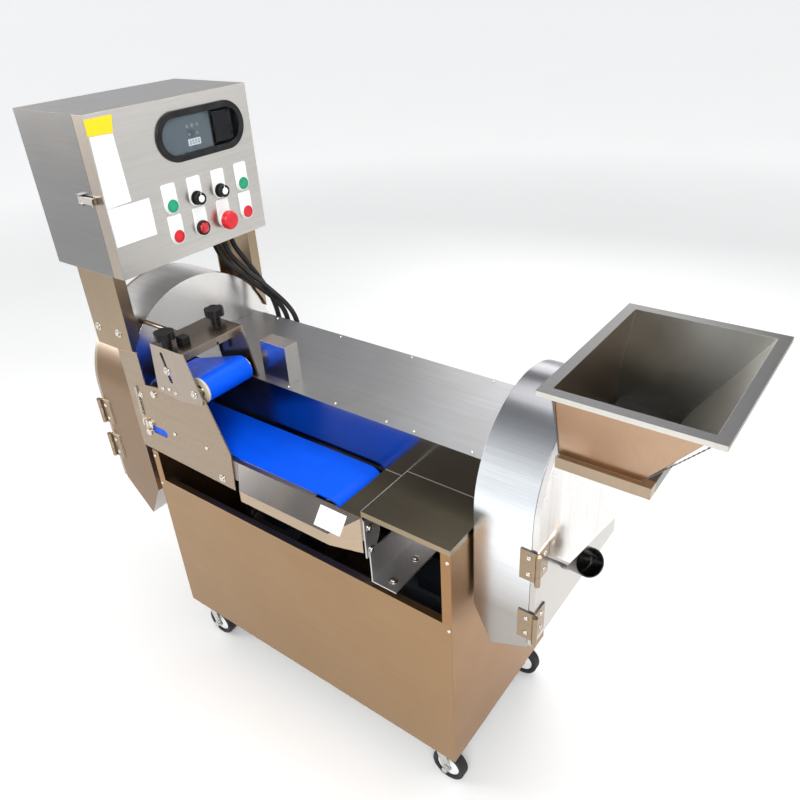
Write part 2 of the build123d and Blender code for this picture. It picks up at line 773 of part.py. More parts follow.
def rectangle_at(x0, x1, y0, y1):
    """Rectangle between two corners, in the sketch that is being drawn."""
    with Locations(((x0 + x1) / 2, (y0 + y1) / 2)):
        Rectangle(x1 - x0, y1 - y0)


throat = (right.door_face + 8.0, right.door_face + chute_top_reach, chute_front, chute_back)
mouth = (rim_left + rim_width, rim_right - rim_width, rim_front + rim_width, rim_back - rim_width)


def shrink(corners, by):
    """The same rectangle, smaller by a margin on each side."""
    x0, x1, y0, y1 = corners
    return x0 + by, x1 - by, y0 + by, y1 - by


with BuildPart() as hopper:
    with BuildSketch(Plane.XY.offset(throat_top)):
        rectangle_at(*throat)
    with BuildSketch(Plane.XY.offset(hopper_top)):
        rectangle_at(*shrink(mouth, -chute_skin))
    loft()
    block(*throat, chute_top, throat_top)
    with BuildSketch(Plane.XY.offset(chute_top)):
        rectangle_at(throat[0] - 2, throat[1] + 17, throat[2] - flange_margin, throat[3] + flange_margin)
    extrude(amount=flange_top - chute_top)
    block(rim_left, rim_right, rim_front, rim_back, hopper_top - rim_fold, hopper_top)
    with BuildSketch(Plane.XY.offset(throat_top)):
        rectangle_at(*shrink(throat, chute_skin))
    with BuildSketch(Plane.XY.offset(hopper_top)):
        rectangle_at(*mouth)
    loft(mode=Mode.SUBTRACT)
    block(*shrink(throat, chute_skin), chute_top, throat_top, Mode.SUBTRACT)
keep(hopper, "hopper")

# Cutters
rotor_radius = 195.0
blade_thickness = 3.0
hub_radius = 34.0
hub_length = 34.0
rotor_x = left.inner - head_skin - 9.0
blade_count = 3

with BuildPart() as left_knife_rotor:
    with BuildSketch(Plane.YZ.offset(rotor_x - blade_thickness)) as blades:
        with BuildSketch(mode=Mode.PRIVATE) as blade:
            with BuildLine():
                tip = (rotor_radius * cos(radians(62)), rotor_radius * sin(radians(62)))
                ThreePointArc((hub_radius - 6, 0), (0.72 * rotor_radius, 0.30 * rotor_radius), tip)
                Line(tip, (tip[0] - 18, tip[1] - 2))
                ThreePointArc((tip[0] - 18, tip[1] - 2), (0.42 * rotor_radius, 0.44 * rotor_radius),
                              (4, hub_radius - 8))
                Line((4, hub_radius - 8), (hub_radius - 6, 0))
            make_face()
        with Locations((left.y, left.z)):
            with PolarLocations(0.001, blade_count):
                add(blade.sketch)
            Circle(hub_radius - 2)
    extrude(amount=blade_thickness)
    rod_x(left.y, left.z, hub_radius, rotor_x - blade_thickness - hub_length, rotor_x - blade_thickness)
    rod_x(left.y, left.z, knife_shaft_radius + running_fit, rotor_x - 60, rotor_x + 5, Mode.SUBTRACT)
keep(left_knife_rotor, "left_knife_rotor")

disc_radius = 160.0
disc_thickness = 5.0
disc_clear = 12.0
disc_x = right.outer - disc_clear - disc_thickness
slot_count = 3

with BuildPart() as right_cutting_disc:
    with BuildSketch(Plane.YZ.offset(disc_x)):
        with Locations((right.y, right.z)):
            Circle(disc_radius)
            with PolarLocations(92, slot_count):
                SlotOverall(110, 16, mode=Mode.SUBTRACT)
    extrude(amount=disc_thickness)
    with BuildSketch(Plane.YZ.offset(disc_x + disc_thickness)):
        with Locations((right.y, right.z)):
            with PolarLocations(92, slot_count):
                with Locations((0, 14)):
                    RectangleRounded(112, 22, 3)
    extrude(amount=blade_thickness)
    rod_x(right.y, right.z, hub_radius, disc_x - hub_length / 2, disc_x)
    rod_x(right.y, right.z, knife_shaft_radius + running_fit, disc_x - 60, disc_x + 20, Mode.SUBTRACT)
keep(right_cutting_disc, "right_cutting_disc")

pulley_width = 34.0
groove_depth = 9.0
groove_width = 12.0
left_pulley_radius = 55.0
right_pulley_radius = 36.0
motor_pulley_radius = 36.0
left_pulley_x = left.inner + barrel_length + 6.0
right_pulley_x = right.inner - barrel_length - 6.0 - pulley_width


def pulley(radius, y, z, x):
    """Pulley with one wide V groove, on an axis along X."""
    with BuildPart() as wheel:
        with BuildSketch(Plane.XY.offset(z)):
            with BuildLine():
                middle = x + pulley_width / 2
                Polyline((x, y), (x, y + radius), (middle - groove_width / 2, y + radius),
                         (middle - groove_width / 4, y + radius - groove_depth),
                         (middle + groove_width / 4, y + radius - groove_depth),
                         (middle + groove_width / 2, y + radius),
                         (x + pulley_width, y + radius), (x + pulley_width, y), close=True)
            make_face()
        revolve(axis=Axis((0, y, z), (1, 0, 0)))
    return wheel.part


with BuildPart() as left_knife_shaft:
    rod_x(left.y, left.z, knife_shaft_radius, rotor_x - hub_length - 14, left_pulley_x + pulley_width)
    rod_x(left.y, left.z, 17, rotor_x - hub_length - 14, rotor_x - hub_length - blade_thickness - 0.3)
    add(pulley(left_pulley_radius, left.y, left.z, left_pulley_x))
keep(left_knife_shaft, "left_knife_shaft")

with BuildPart() as right_disc_shaft:
    rod_x(right.y, right.z, knife_shaft_radius, right_pulley_x, right.outer - 5)
    rod_x(right.y, right.z, 17, disc_x + disc_thickness + blade_thickness + 0.3, right.outer - 1)
    add(pulley(right_pulley_radius, right.y, right.z, right_pulley_x))
keep(right_disc_shaft, "right_disc_shaft")

motor_radius = 62.0
motor_length = 150.0
motor_height = motor_foot_height + 78.0
motor_shaft_radius = 12.0
left_motor_x = left_pulley_x + pulley_width + 12.0
right_motor_x = right_pulley_x - 12.0 - motor_length
fin_count = 16
gearbox_x = drive_roller_x - 40.0
gearbox_width = 80.0

with BuildPart() as drive_motors:
    for x, y in ((left_motor_x, left.y), (right_motor_x, right.y)):
        with BuildSketch(Plane.YZ.offset(x)):
            with Locations((y, motor_height)):
                Circle(motor_radius)
                with PolarLocations(motor_radius + 2, fin_count):
                    Rectangle(10, 4)
        extrude(amount=motor_length)
        block(x + 20, x + motor_length - 20, y - 60, y + 60, motor_foot_height, motor_foot_height + 10)
        block(x + 30, x + motor_length - 30, y - 40, y + 40, motor_foot_height, motor_height - 20)
        block(x + 35, x + 105, y - 40, y + 40, motor_height + motor_radius - 6,
              motor_height + motor_radius + 30)
        rod_x(y, motor_height, motor_shaft_radius + running_fit, x - 1, x + motor_length + 1,
              Mode.SUBTRACT)
    block(gearbox_x, gearbox_x + gearbox_width, wall_front + sheet, wall_front + sheet + gearbox_depth,
          roller_height - 45, roller_height + 45)
    rod_y(drive_roller_x, roller_height, 42, wall_front + sheet + gearbox_depth,
          wall_front + sheet + gearbox_depth + 130)
    rod_y(drive_roller_x, roller_height, shaft_bore, wall_front, wall_front + sheet + gearbox_depth + 2,
          Mode.SUBTRACT)
keep(drive_motors, "drive_motors")

with BuildPart() as left_motor_pulley:
    rod_x(left.y, motor_height, motor_shaft_radius, left_pulley_x, left_motor_x + motor_length / 2)
    add(pulley(motor_pulley_radius, left.y, motor_height, left_pulley_x))
keep(left_motor_pulley, "left_motor_pulley")

with BuildPart() as right_motor_pulley:
    rod_x(right.y, motor_height, motor_shaft_radius, right_motor_x + motor_length / 2,
          right_pulley_x + pulley_width)
    add(pulley(motor_pulley_radius, right.y, motor_height, right_pulley_x))
keep(right_motor_pulley, "right_motor_pulley")

vee_thickness = 8.0
vee_width = 5.0
with BuildPart() as drive_belts:
    for head, x, radius in ((left, left_pulley_x, left_pulley_radius),
                            (right, right_pulley_x, right_pulley_radius)):
        middle = x + pulley_width / 2
        add(belt_loop(Plane.YZ.offset(middle - vee_width / 2),
                      ((head.y, motor_height), (head.y, head.z)),
                      (motor_pulley_radius - groove_depth + belt_gap, radius - groove_depth + belt_gap),
                      vee_thickness, vee_width))
keep(drive_belts, "drive_belts")

# Castors: a swivel fork and a wheel under each corner
wheel_radius = 37.5
wheel_width = 24.0
wheel_hub_radius = 27.0
axle_radius = 4.0
castor_trail = 15.0
fork_top = cab_bottom - pad_thickness - seat_gap
fork_plate = 8.0
fork_leg = 3.0
fork_gap = wheel_width / 2 + 2.0
castor_names = ("front_left", "front_right", "rear_left", "rear_right")
castor_places = [(x, y) for y in castor_y for x in castor_x]

for castor_name, (x, y) in zip(castor_names, castor_places):
    axle_x = x + castor_trail
    with BuildPart() as fork:
        rod_z(x, y, 24, fork_top - fork_plate, fork_top)
        rod_z(x, y, king_pin_radius, fork_top, cab_bottom - seat_gap)
        for leg_y in (y - fork_gap - fork_leg, y + fork_gap):
            with BuildSketch(Plane.XZ.offset(-(leg_y + fork_leg))):
                with Locations((axle_x, wheel_radius)):
                    Circle(10)
                with Locations((x, fork_top - fork_plate)):
                    Circle(12)
                make_hull()
                with Locations((x, fork_top + 6)):
                    Rectangle(60, 12, mode=Mode.SUBTRACT)
            extrude(amount=fork_leg)
        rod_y(axle_x, wheel_radius, axle_radius, y - fork_gap - fork_leg - 3, y + fork_gap + fork_leg + 3)
    keep(fork, "castor_fork_" + castor_name)

    with BuildPart() as wheel:
        with BuildSketch(Plane.XY.offset(wheel_radius)) as tyre:
            with Locations((axle_x + (wheel_hub_radius + wheel_radius) / 2, y)):
                RectangleRounded(wheel_radius - wheel_hub_radius, wheel_width, 4)
        revolve(axis=Axis((axle_x, y, wheel_radius), (0, 1, 0)))
        rod_y(axle_x, wheel_radius, wheel_hub_radius + 1, y - wheel_width / 3, y + wheel_width / 3)
        rod_y(axle_x, wheel_radius, 10, y - wheel_width / 2, y + wheel_width / 2)
        rod_y(axle_x, wheel_radius, axle_radius + running_fit, y - wheel_width, y + wheel_width,
              Mode.SUBTRACT)
    keep(wheel, "castor_wheel_" + castor_name)

# Control box on its column
box_left = cab_left - box_overhang
box_front = cab_front + 24.0
box_width = 390.0
box_low = 971.0
box_height = 309.0
box_door_face = cab_left + 25.6
box_door_depth = 32.0
box_seam = 0.8
box_skin = 2.0
box_back = box_front + box_width
box_top = box_low + box_height
box_body_end = box_door_face - box_door_depth - box_seam
flange_reach = 12.0
cable_exits = ((-40.0, 330.0), (-42.0, 306.0), (-38.0, 354.0))

box_hinge_y = box_back + hinge_barrel
box_hinge_x = box_body_end + box_seam / 2
box_hinge_lows = (box_low + 40.0, box_top - 40.0 - hinge_height)
box_leaf_reach = 28.0


def box_hinge_half(z_low, moving):
    """One leaf of a flat butt hinge across the seam at the back of the control box."""
    third = hinge_height / 3
    side = 1 if moving else -1
    y_face = box_back + loose_gap / 3
    with BuildPart() as leaf:
        block(box_hinge_x + side * (hinge_barrel + hinge_clear), box_hinge_x + side * box_leaf_reach,
              y_face, y_face + hinge_leaf, z_low, z_low + hinge_height)
        spans = ((third + hinge_clear, 2 * third - hinge_clear),) if moving else (
            (0, third), (2 * third, hinge_height))
        for start, stop in spans:
            block(box_hinge_x, box_hinge_x + side * (hinge_barrel + hinge_clear), y_face,
                  y_face + hinge_leaf, z_low + start, z_low + stop)
            rod_z(box_hinge_x, box_hinge_y + loose_gap / 3, hinge_barrel, z_low + start, z_low + stop)
        if moving:
            rod_z(box_hinge_x, box_hinge_y + loose_gap / 3, hinge_pin + running_fit, z_low,
                  z_low + hinge_height, Mode.SUBTRACT)
        else:
            rod_z(box_hinge_x, box_hinge_y + loose_gap / 3, hinge_pin, z_low, z_low + hinge_height)
    return leaf.part


# Over-centre latch on the side of the control box
latch_height = 1125.0
latch_half = 7.0
latch_pin = 1.5
latch_barrel = 3.0
latch_pin_x = box_body_end - 38.0
latch_pin_y = box_front - 5.0
latch_tip_x = box_body_end + 10.0

with BuildPart() as control_box_body:
    block(box_left, box_body_end, box_front, box_back, box_low, box_top)
    block(box_left + box_skin, box_body_end + 1, box_front + box_skin, box_back - box_skin,
          box_low + box_skin, box_top - box_skin, Mode.SUBTRACT)
    block(box_body_end - box_skin, box_body_end, box_front, box_back, box_low, box_top)
    block(box_body_end - box_skin - 1, box_body_end + 1, box_front + flange_reach,
          box_back - flange_reach, box_low + flange_reach, box_top - flange_reach, Mode.SUBTRACT)
    for x, y in cable_exits:
        rod_z(cab_left + x, cab_front + y, cable_radius + loose_gap, box_low - 1,
              box_low + box_skin + 1, Mode.SUBTRACT)
    for z in box_hinge_lows:
        add(box_hinge_half(z, False))
    for z in (latch_height - latch_half - 3.3, latch_height + latch_half + 0.3):
        block(latch_pin_x - 5, latch_pin_x + 12, latch_pin_y - 4, box_front, z, z + 3)
    rod_z(latch_pin_x, latch_pin_y, latch_pin, latch_height - latch_half - 2,
          latch_height + latch_half + 2)
keep(control_box_body, "control_box_body")

# Controls on the box door: two rows at one pitch, under the window
window_width = 226.0
window_height = 97.0
window_centre = (cab_front + 279.0, 1207.5)
bezel_width = 13.0
bezel_proud = 5.0
row_heights = (1082.0, 1019.0)
control_first = cab_front + 169.0
control_pitch = 64.5
control_y = [control_first + i * control_pitch for i in range(4)]
push_radius = 9.5
push_hole = 11.0
ring_radius = 14.5
ring_proud = 6.0
push_proud = 8.0
push_travel = 4.0
stop_radius = 20.0
stop_travel = 5.0
knob_body_radius = 12.5
knob_proud = 18.0
push_places = {"start_button_left": (control_y[0], row_heights[0]),
               "start_button_right": (control_y[3], row_heights[0]),
               "stop_button_left": (control_y[0], row_heights[1]),
               "stop_button_right": (control_y[3], row_heights[1])}
speed_places = {"speed_knob_left": (control_y[1], row_heights[0]),
                "speed_knob_right": (control_y[2], row_heights[0])}
lamp_place = (control_y[1], row_heights[1])
emergency_place = (control_y[2], row_heights[1])

with BuildPart() as control_door:
    x_edge = box_door_face - box_door_depth
    block(x_edge, box_door_face, box_front, box_back, box_low, box_top)
    block(x_edge - 1, box_door_face - box_skin, box_front + box_skin, box_back - box_skin,
          box_low + box_skin, box_top - box_skin, Mode.SUBTRACT)
    with BuildSketch(Plane.YZ.offset(box_door_face - box_skin)):
        with Locations(window_centre):
            SlotOverall(window_width - bezel_width, window_height - bezel_width)
        with Locations(*push_places.values(), *speed_places.values(), lamp_place, emergency_place):
            Circle(push_hole)
    extrude(amount=box_skin, mode=Mode.SUBTRACT)
    for z in box_hinge_lows:
        add(box_hinge_half(z, True))
    block(box_body_end + 3, latch_tip_x - 2, latch_pin_y + 1.6, box_front,
          latch_height - latch_half, latch_height + latch_half)
keep(control_door, "control_door")

with BuildPart() as window_bezel:
    with BuildSketch(Plane.YZ.offset(box_door_face)):
        with Locations(window_centre):
            SlotOverall(window_width, window_height)
            SlotOverall(window_width - 2 * bezel_width, window_height - 2 * bezel_width,
                        mode=Mode.SUBTRACT)
    extrude(amount=bezel_proud)
    fillet(window_bezel.edges().group_by(Axis.X)[-1], radius=2)
keep(window_bezel, "window_bezel")

glass_thickness = 3.0
with BuildPart() as window_glass:
    with BuildSketch(Plane.YZ.offset(box_door_face - glass_thickness + 1)):
        with Locations(window_centre):
            SlotOverall(window_width - bezel_width - 2 * seat_gap, window_height - bezel_width
                        - 2 * seat_gap)
    extrude(amount=glass_thickness - 1)
keep(window_glass, "window_glass")

display_depth = 22.0
with BuildPart() as panel_instruments:
    glass_back = box_door_face - glass_thickness + 1
    y_mid, z_mid = window_centre
    block(glass_back - display_depth, glass_back - seat_gap, y_mid - 82, y_mid + 30,
          z_mid - 34, z_mid + 34)
    block(glass_back - display_depth, glass_back - seat_gap, y_mid + 36, y_mid + 84,
          z_mid - 30, z_mid + 30)
    for y, z in (*push_places.values(), *speed_places.values(), lamp_place, emergency_place):
        rod_x(y, z, ring_radius, box_door_face, box_door_face + ring_proud)
        rod_x(y, z, push_hole - seat_gap, box_door_face - display_depth, box_door_face)
        rod_x(y, z, push_radius + loose_gap, box_door_face - display_depth - 1,
              box_door_face + ring_proud + 1, Mode.SUBTRACT)
    rod_x(*lamp_place, push_radius + 1, box_door_face - display_depth, box_door_face + ring_proud + 4)
keep(panel_instruments, "panel_instruments")

for push_name, (y, z) in push_places.items():
    with BuildPart() as push:
        rod_x(y, z, push_radius, box_door_face - display_depth + push_travel + 1,
              box_door_face + push_proud)
        fillet(push.edges().group_by(Axis.X)[-1], radius=1.5)
    keep(push, push_name)

with BuildPart() as emergency_stop:
    rod_x(*emergency_place, push_radius, box_door_face - display_depth + stop_travel + 1,
          box_door_face + 16)
    rod_x(*emergency_place, stop_radius, box_door_face + ring_proud + stop_travel + 1,
          box_door_face + 26)
    fillet(emergency_stop.edges().group_by(Axis.X)[-1], radius=7)
keep(emergency_stop, "emergency_stop")

for knob_name, (y, z) in speed_places.items():
    with BuildPart() as speed_knob:
        rod_x(y, z, push_radius, box_door_face - display_depth + 1, box_door_face + ring_proud + 1)
        with BuildSketch(Plane.YZ.offset(box_door_face + ring_proud + seat_gap)):
            with Locations((y, z)):
                Circle(knob_body_radius)
                with PolarLocations(knob_body_radius + 0.6, 18):
                    Circle(1.2, mode=Mode.SUBTRACT)
        extrude(amount=knob_proud - ring_proud)
    keep(speed_knob, knob_name)

with BuildPart() as box_latch:
    block(latch_pin_x, latch_tip_x, latch_pin_y - 1.5, latch_pin_y + 1.5,
          latch_height - latch_half, latch_height + latch_half)
    rod_z(latch_pin_x, latch_pin_y, latch_barrel, latch_height - latch_half,
          latch_height + latch_half)
    rod_z(latch_pin_x, latch_pin_y, latch_pin + running_fit, latch_height - latch_half,
          latch_height + latch_half, Mode.SUBTRACT)
    with BuildSketch(Plane.XY.offset(latch_height - latch_half)):
        with BuildLine():
            Polyline((latch_tip_x - 9, latch_pin_y), (latch_tip_x, latch_pin_y),
                     (latch_tip_x + 7, latch_pin_y - 9), (latch_tip_x + 4, latch_pin_y - 9),
                     close=True)
        make_face()
    extrude(amount=2 * latch_half)
keep(box_latch, "box_latch")

gear_plate_x = box_left + 12.0
with BuildPart() as control_gear:
    block(gear_plate_x, gear_plate_x + 3, box_front + 25, box_back - 25, box_low + 25, box_top - 25)
    for z in (box_low + 30, box_top - 34):
        for y in (box_front + 35, box_back - 39):
            block(box_left + box_skin, gear_plate_x, y, y + 4, z, z + 4)
    for y in (box_front + 45, box_front + 150):
        block(gear_plate_x + 3, gear_plate_x + 120, y, y + 90, box_top - 190, box_top - 40)
    for i in range(4):
        y = box_front + 50 + i * 48
        block(gear_plate_x + 3, gear_plate_x + 75, y, y + 42, box_low + 38, box_low + 108)
    block(gear_plate_x + 3, gear_plate_x + 60, box_back - 130, box_back - 45, box_top - 150, box_top - 45)
keep(control_gear, "control_gear")

column_skin = 3.0
column_left = cab_left - 138.0
column_right = cab_left - 14.0
column_fold = 26.0

with BuildPart() as box_column:
    for y, fold_y in ((box_front, box_front + column_fold), (box_back - column_skin,
                                                             box_back - column_fold)):
        block(column_left, column_right, y, y + column_skin, left.z + 60, box_low)
        for x in (column_left, column_right - column_skin):
            block(x, x + column_skin, y, fold_y, left.z + 60, box_low)
    rod_x(left.y, left.z, left.radius + seat_gap, column_left - 1, column_right + 1, Mode.SUBTRACT)
    block(column_left, column_right, box_front, box_front + column_fold, left.z, left.z + 107,
          Mode.SUBTRACT)
keep(box_column, "box_column")

# Cables from the box to the duct on the cabinet's back panel
cable_routes = (
    ((-40, 330, 971), (-38, 334, 930), (-12, 352, 884), (36, 378, 836), (84, 402, 782)),
    ((-42, 306, 971), (-40, 312, 928), (-12, 331, 884), (22, 364, 838), (56, 400, 786)),
    ((-38, 354, 971), (-36, 357, 934), (-14, 371, 894), (6, 388, 848), (28, 401, 796)),
)
arc_share = 0.45


def corner_radii(points):
    """Largest tangent arc that the two runs of each corner leave room for."""
    radii = []
    for before, here, after in zip(points, points[1:], points[2:]):
        arriving, leaving = here - before, after - here
        half_turn = radians(arriving.get_angle(leaving)) / 2
        radii.append(arc_share * min(arriving.length, leaving.length) / tan(half_turn))
    return radii


with BuildPart() as control_cables:
    for route, end_x in zip(cable_routes, cable_down_x):
        drop = ((end_x, cable_from_front, 736), (end_x, cable_from_front, cable_end))
        points = [Vector(cab_left + x, cab_front + y, z) for x, y, z in (*route, *drop)]
        radii = corner_radii(points)
        print("cable arc radii", [round(r) for r in radii])
        with BuildLine() as path:
            FilletPolyline(*points, radius=radii)
        print("cable length", round(sum(edge.length for edge in path.edges())))
        with BuildSketch(Plane(points[0], z_dir=points[1] - points[0])):
            Circle(cable_radius)
        sweep(path=path.line)
keep(control_cables, "control_cables")
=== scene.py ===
"""Looks of the vegetable cutting machine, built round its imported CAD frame."""
from math import cos, radians, sin, tau

import bmesh
import bpy
from mathutils import Matrix, Vector


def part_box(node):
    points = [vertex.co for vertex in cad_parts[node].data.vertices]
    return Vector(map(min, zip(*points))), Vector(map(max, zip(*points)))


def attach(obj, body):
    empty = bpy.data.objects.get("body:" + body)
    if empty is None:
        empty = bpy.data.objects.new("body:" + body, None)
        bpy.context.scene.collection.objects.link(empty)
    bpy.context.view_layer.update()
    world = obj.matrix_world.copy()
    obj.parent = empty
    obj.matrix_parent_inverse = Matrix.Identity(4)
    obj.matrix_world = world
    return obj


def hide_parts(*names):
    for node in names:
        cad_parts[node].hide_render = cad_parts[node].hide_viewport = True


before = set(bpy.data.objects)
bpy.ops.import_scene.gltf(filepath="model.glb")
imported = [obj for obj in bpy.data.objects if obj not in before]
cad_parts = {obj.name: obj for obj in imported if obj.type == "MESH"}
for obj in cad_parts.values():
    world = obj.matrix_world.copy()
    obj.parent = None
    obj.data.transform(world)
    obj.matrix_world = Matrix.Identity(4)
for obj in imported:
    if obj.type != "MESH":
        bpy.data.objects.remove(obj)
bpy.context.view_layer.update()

X, Y, Z = Vector((1, 0, 0)), Vector((0, 1, 0)), Vector((0, 0, 1))
CABINET_LEFT, CABINET_FRONT = -0.482, -0.1975
LEFT_HEAD = {"out": -1, "door_face": -0.6365, "front": -0.1975, "lows": (0.500, 0.595)}
RIGHT_HEAD = {"out": 1, "door_face": 0.4405, "front": -0.1355, "lows": (0.480, 0.615)}


def at(x, y, z):
    """Point given in millimetres from the cabinet's left front corner and the floor."""
    return Vector((CABINET_LEFT + x / 1000, CABINET_FRONT + y / 1000, z / 1000))


# Camera, at the photograph's angle
camera_data = bpy.data.cameras.new("camera")
camera_data.sensor_width = 36.0
camera_data.lens = 32.93
camera_data.clip_start = 0.05
camera = bpy.data.objects.new("camera", camera_data)
bpy.context.scene.collection.objects.link(camera)
look_right = Vector((0.8045, 0.59163, -0.05246)).normalized()
look_ahead = Vector((-0.52943, 0.67427, -0.51485)).normalized()
look_up = look_right.cross(look_ahead)
turn = Matrix((look_right, look_up, -look_ahead)).transposed().to_4x4()
camera.matrix_world = Matrix.Translation((0.8090, -0.9290, 1.4848)) @ turn
bpy.context.scene.camera = camera
bpy.context.scene.view_settings.view_transform = "Standard"


# Helpers for materials
def blank(name, colour, metallic=0.0, roughness=0.5):
    """New material with its shader set to plain values."""
    material = bpy.data.materials.new(name)
    material.use_nodes = True
    shader = material.node_tree.nodes["Principled BSDF"]
    shader.inputs["Base Color"].default_value = (*colour, 1)
    shader.inputs["Metallic"].default_value = metallic
    shader.inputs["Roughness"].default_value = roughness
    return material, material.node_tree, shader


def add_node(tree, kind, **values):
    """New node with its properties and sockets set by name."""
    node = tree.nodes.new(kind)
    for key, value in values.items():
        if hasattr(node, key):
            setattr(node, key, value)
        else:
            node.inputs[key.replace("_", " ")].default_value = value
    return node


def noise(tree, coords, scale, detail=3.0, stretch=None, distortion=0.0):
    """Noise over object coordinates, drawn out along an axis if stretch is given."""
    if stretch is not None:
        mapping = add_node(tree, "ShaderNodeMapping")
        mapping.inputs["Scale"].default_value = stretch
        tree.links.new(coords, mapping.inputs["Vector"])
        coords = mapping.outputs["Vector"]
    texture = add_node(tree, "ShaderNodeTexNoise", Scale=scale, Detail=detail,
                       Distortion=distortion)
    tree.links.new(coords, texture.inputs["Vector"])
    return texture.outputs["Fac"]


def ramp(tree, factor, stops):
    """Colour ramp through (position, colour) stops."""
    node = add_node(tree, "ShaderNodeValToRGB")
    elements = node.color_ramp.elements
    while len(elements) < len(stops):
        elements.new(0.5)
    for element, (position, colour) in zip(elements, stops):
        element.position = position
        element.color = (*colour, 1)
    tree.links.new(factor, node.inputs["Fac"])
    return node.outputs["Color"]


def blend_colours(tree, factor, first, second, mode="MIX"):
    """Mix of two colours, which are sockets or plain values."""
    node = tree.nodes.new("ShaderNodeMix")
    node.data_type = "RGBA"
    node.blend_type = mode
    for socket, value in ((node.inputs[0], factor), (node.inputs[6], first),
                          (node.inputs[7], second)):
        if isinstance(value, bpy.types.NodeSocket):
            tree.links.new(value, socket)
        elif isinstance(value, (int, float)):
            socket.default_value = value
        else:
            socket.default_value = (*value, 1)
    return node.outputs[2]


def spread(tree, factor, low, high, from_low=0.3, from_high=0.7):
    """Factor mapped on to a range of numbers."""
    node = add_node(tree, "ShaderNodeMapRange")
    for key, value in (("From Min", from_low), ("From Max", from_high),
                       ("To Min", low), ("To Max", high)):
        node.inputs[key].default_value = value
    tree.links.new(factor, node.inputs["Value"])
    return node.outputs["Result"]


def bump(tree, shader, height, strength, distance, edge=0.0):
    """Bump from a height, over softened edges if an edge radius is given."""
    node = add_node(tree, "ShaderNodeBump", Strength=strength, Distance=distance)
    tree.links.new(height, node.inputs["Height"])
    if edge:
        bevel = add_node(tree, "ShaderNodeBevel", samples=4, Radius=edge)
        tree.links.new(bevel.outputs["Normal"], node.inputs["Normal"])
    tree.links.new(node.outputs["Normal"], shader.inputs["Normal"])


def object_coords(tree):
    """Coordinates of the object, which are the machine's at rest."""
    return add_node(tree, "ShaderNodeTexCoord").outputs["Object"]


def scaled(colour, by):
    """Colour made lighter or darker, up to white."""
    return tuple(min(1.0, channel * by) for channel in colour)


def blend_values(tree, factor, first, second):
    """Mix of two numbers, which are sockets or plain values."""
    node = tree.nodes.new("ShaderNodeMix")
    tree.links.new(factor, node.inputs[0])
    for socket, value in ((node.inputs[2], first), (node.inputs[3], second)):
        if isinstance(value, bpy.types.NodeSocket):
            tree.links.new(value, socket)
        else:
            socket.default_value = value
    return node.outputs[0]


def coordinate_share(tree, kind, axis, low, high):
    """Share from 0 to 1 as a texture coordinate goes from low to high along an axis."""
    parts = add_node(tree, "ShaderNodeSeparateXYZ")
    tree.links.new(add_node(tree, "ShaderNodeTexCoord").outputs[kind], parts.inputs["Vector"])
    return spread(tree, parts.outputs[axis], 0.0, 1.0, low, high)


def facing(tree, axis, low, high):
    """Share of a face that looks along an axis of its object, from its normal."""
    return coordinate_share(tree, "Normal", axis, low, high)


def beyond(tree, axis, low, high):
    """Share of the surface that lies beyond a place on an axis, in machine metres."""
    return coordinate_share(tree, "Object", axis, low, high)


def proud(axis, face, out, start, full):
    """Test for what stands out from a face on an axis, such as a hinge leaf."""
    return beyond, axis, face + out * start, face + out * full


def product(tree, first, second):
    """Product of two shares."""
    node = add_node(tree, "ShaderNodeMath", operation="MULTIPLY")
    tree.links.new(first, node.inputs[0])
    tree.links.new(second, node.inputs[1])
    return node.outputs[0]


FINE_GRAIN, LONG_GRAIN = 900.0, 9.0


def steel(name, colour, roughness, grain, tarnish_share, tarnish, areas=(),
          contrast=0.06, streak=0.04, edge=0.0009):
    """Brushed stainless steel with grain along one axis and faint handling marks.  Areas
    are (tests, colour, roughness): where all the tests of one hold, the steel has its
    colour and roughness instead, and a later area goes over an earlier one."""
    material, tree, shader = blank(name, colour, metallic=1.0, roughness=roughness)
    coords = object_coords(tree)
    stretch = [FINE_GRAIN] * 3
    stretch["xyz".index(grain)] = LONG_GRAIN
    fine = noise(tree, coords, 1.0, 2.0, stretch)
    broad = noise(tree, coords, 1.0, 2.0, [value * 0.12 for value in stretch])
    cloud = noise(tree, coords, 5.0, 2.0, distortion=0.3)
    smear = noise(tree, coords, 14.0, 2.0, distortion=0.3)
    body = ramp(tree, fine, ((0.3, scaled(colour, 1 - contrast)),
                             (0.7, scaled(colour, 1 + contrast))))
    rough = spread(tree, smear, roughness - 0.015, roughness + 0.02)
    # Each area lays its colour over the body; most areas are painted light, shade and reflection
    for tests, area_colour, area_roughness in areas:
        share = None
        for test, axis, low, high in tests:
            found = test(tree, axis, low, high)
            share = found if share is None else product(tree, share, found)
        body = blend_colours(tree, share, body, area_colour)
        rough = blend_values(tree, share, rough, area_roughness)
    lines = ramp(tree, broad, ((0.35, (1 - streak,) * 3), (0.62, (1.0, 1.0, 1.0))))
    body = blend_colours(tree, 1.0, body, lines, "MULTIPLY")
    stained = ramp(tree, cloud, ((0.45, (0, 0, 0)), (0.75, (tarnish_share,) * 3)))
    body = blend_colours(tree, stained, body, tarnish)
    tree.links.new(body, shader.inputs["Base Color"])
    tree.links.new(rough, shader.inputs["Roughness"])
    bump(tree, shader, fine, 0.07, 0.0003, edge)
    return material


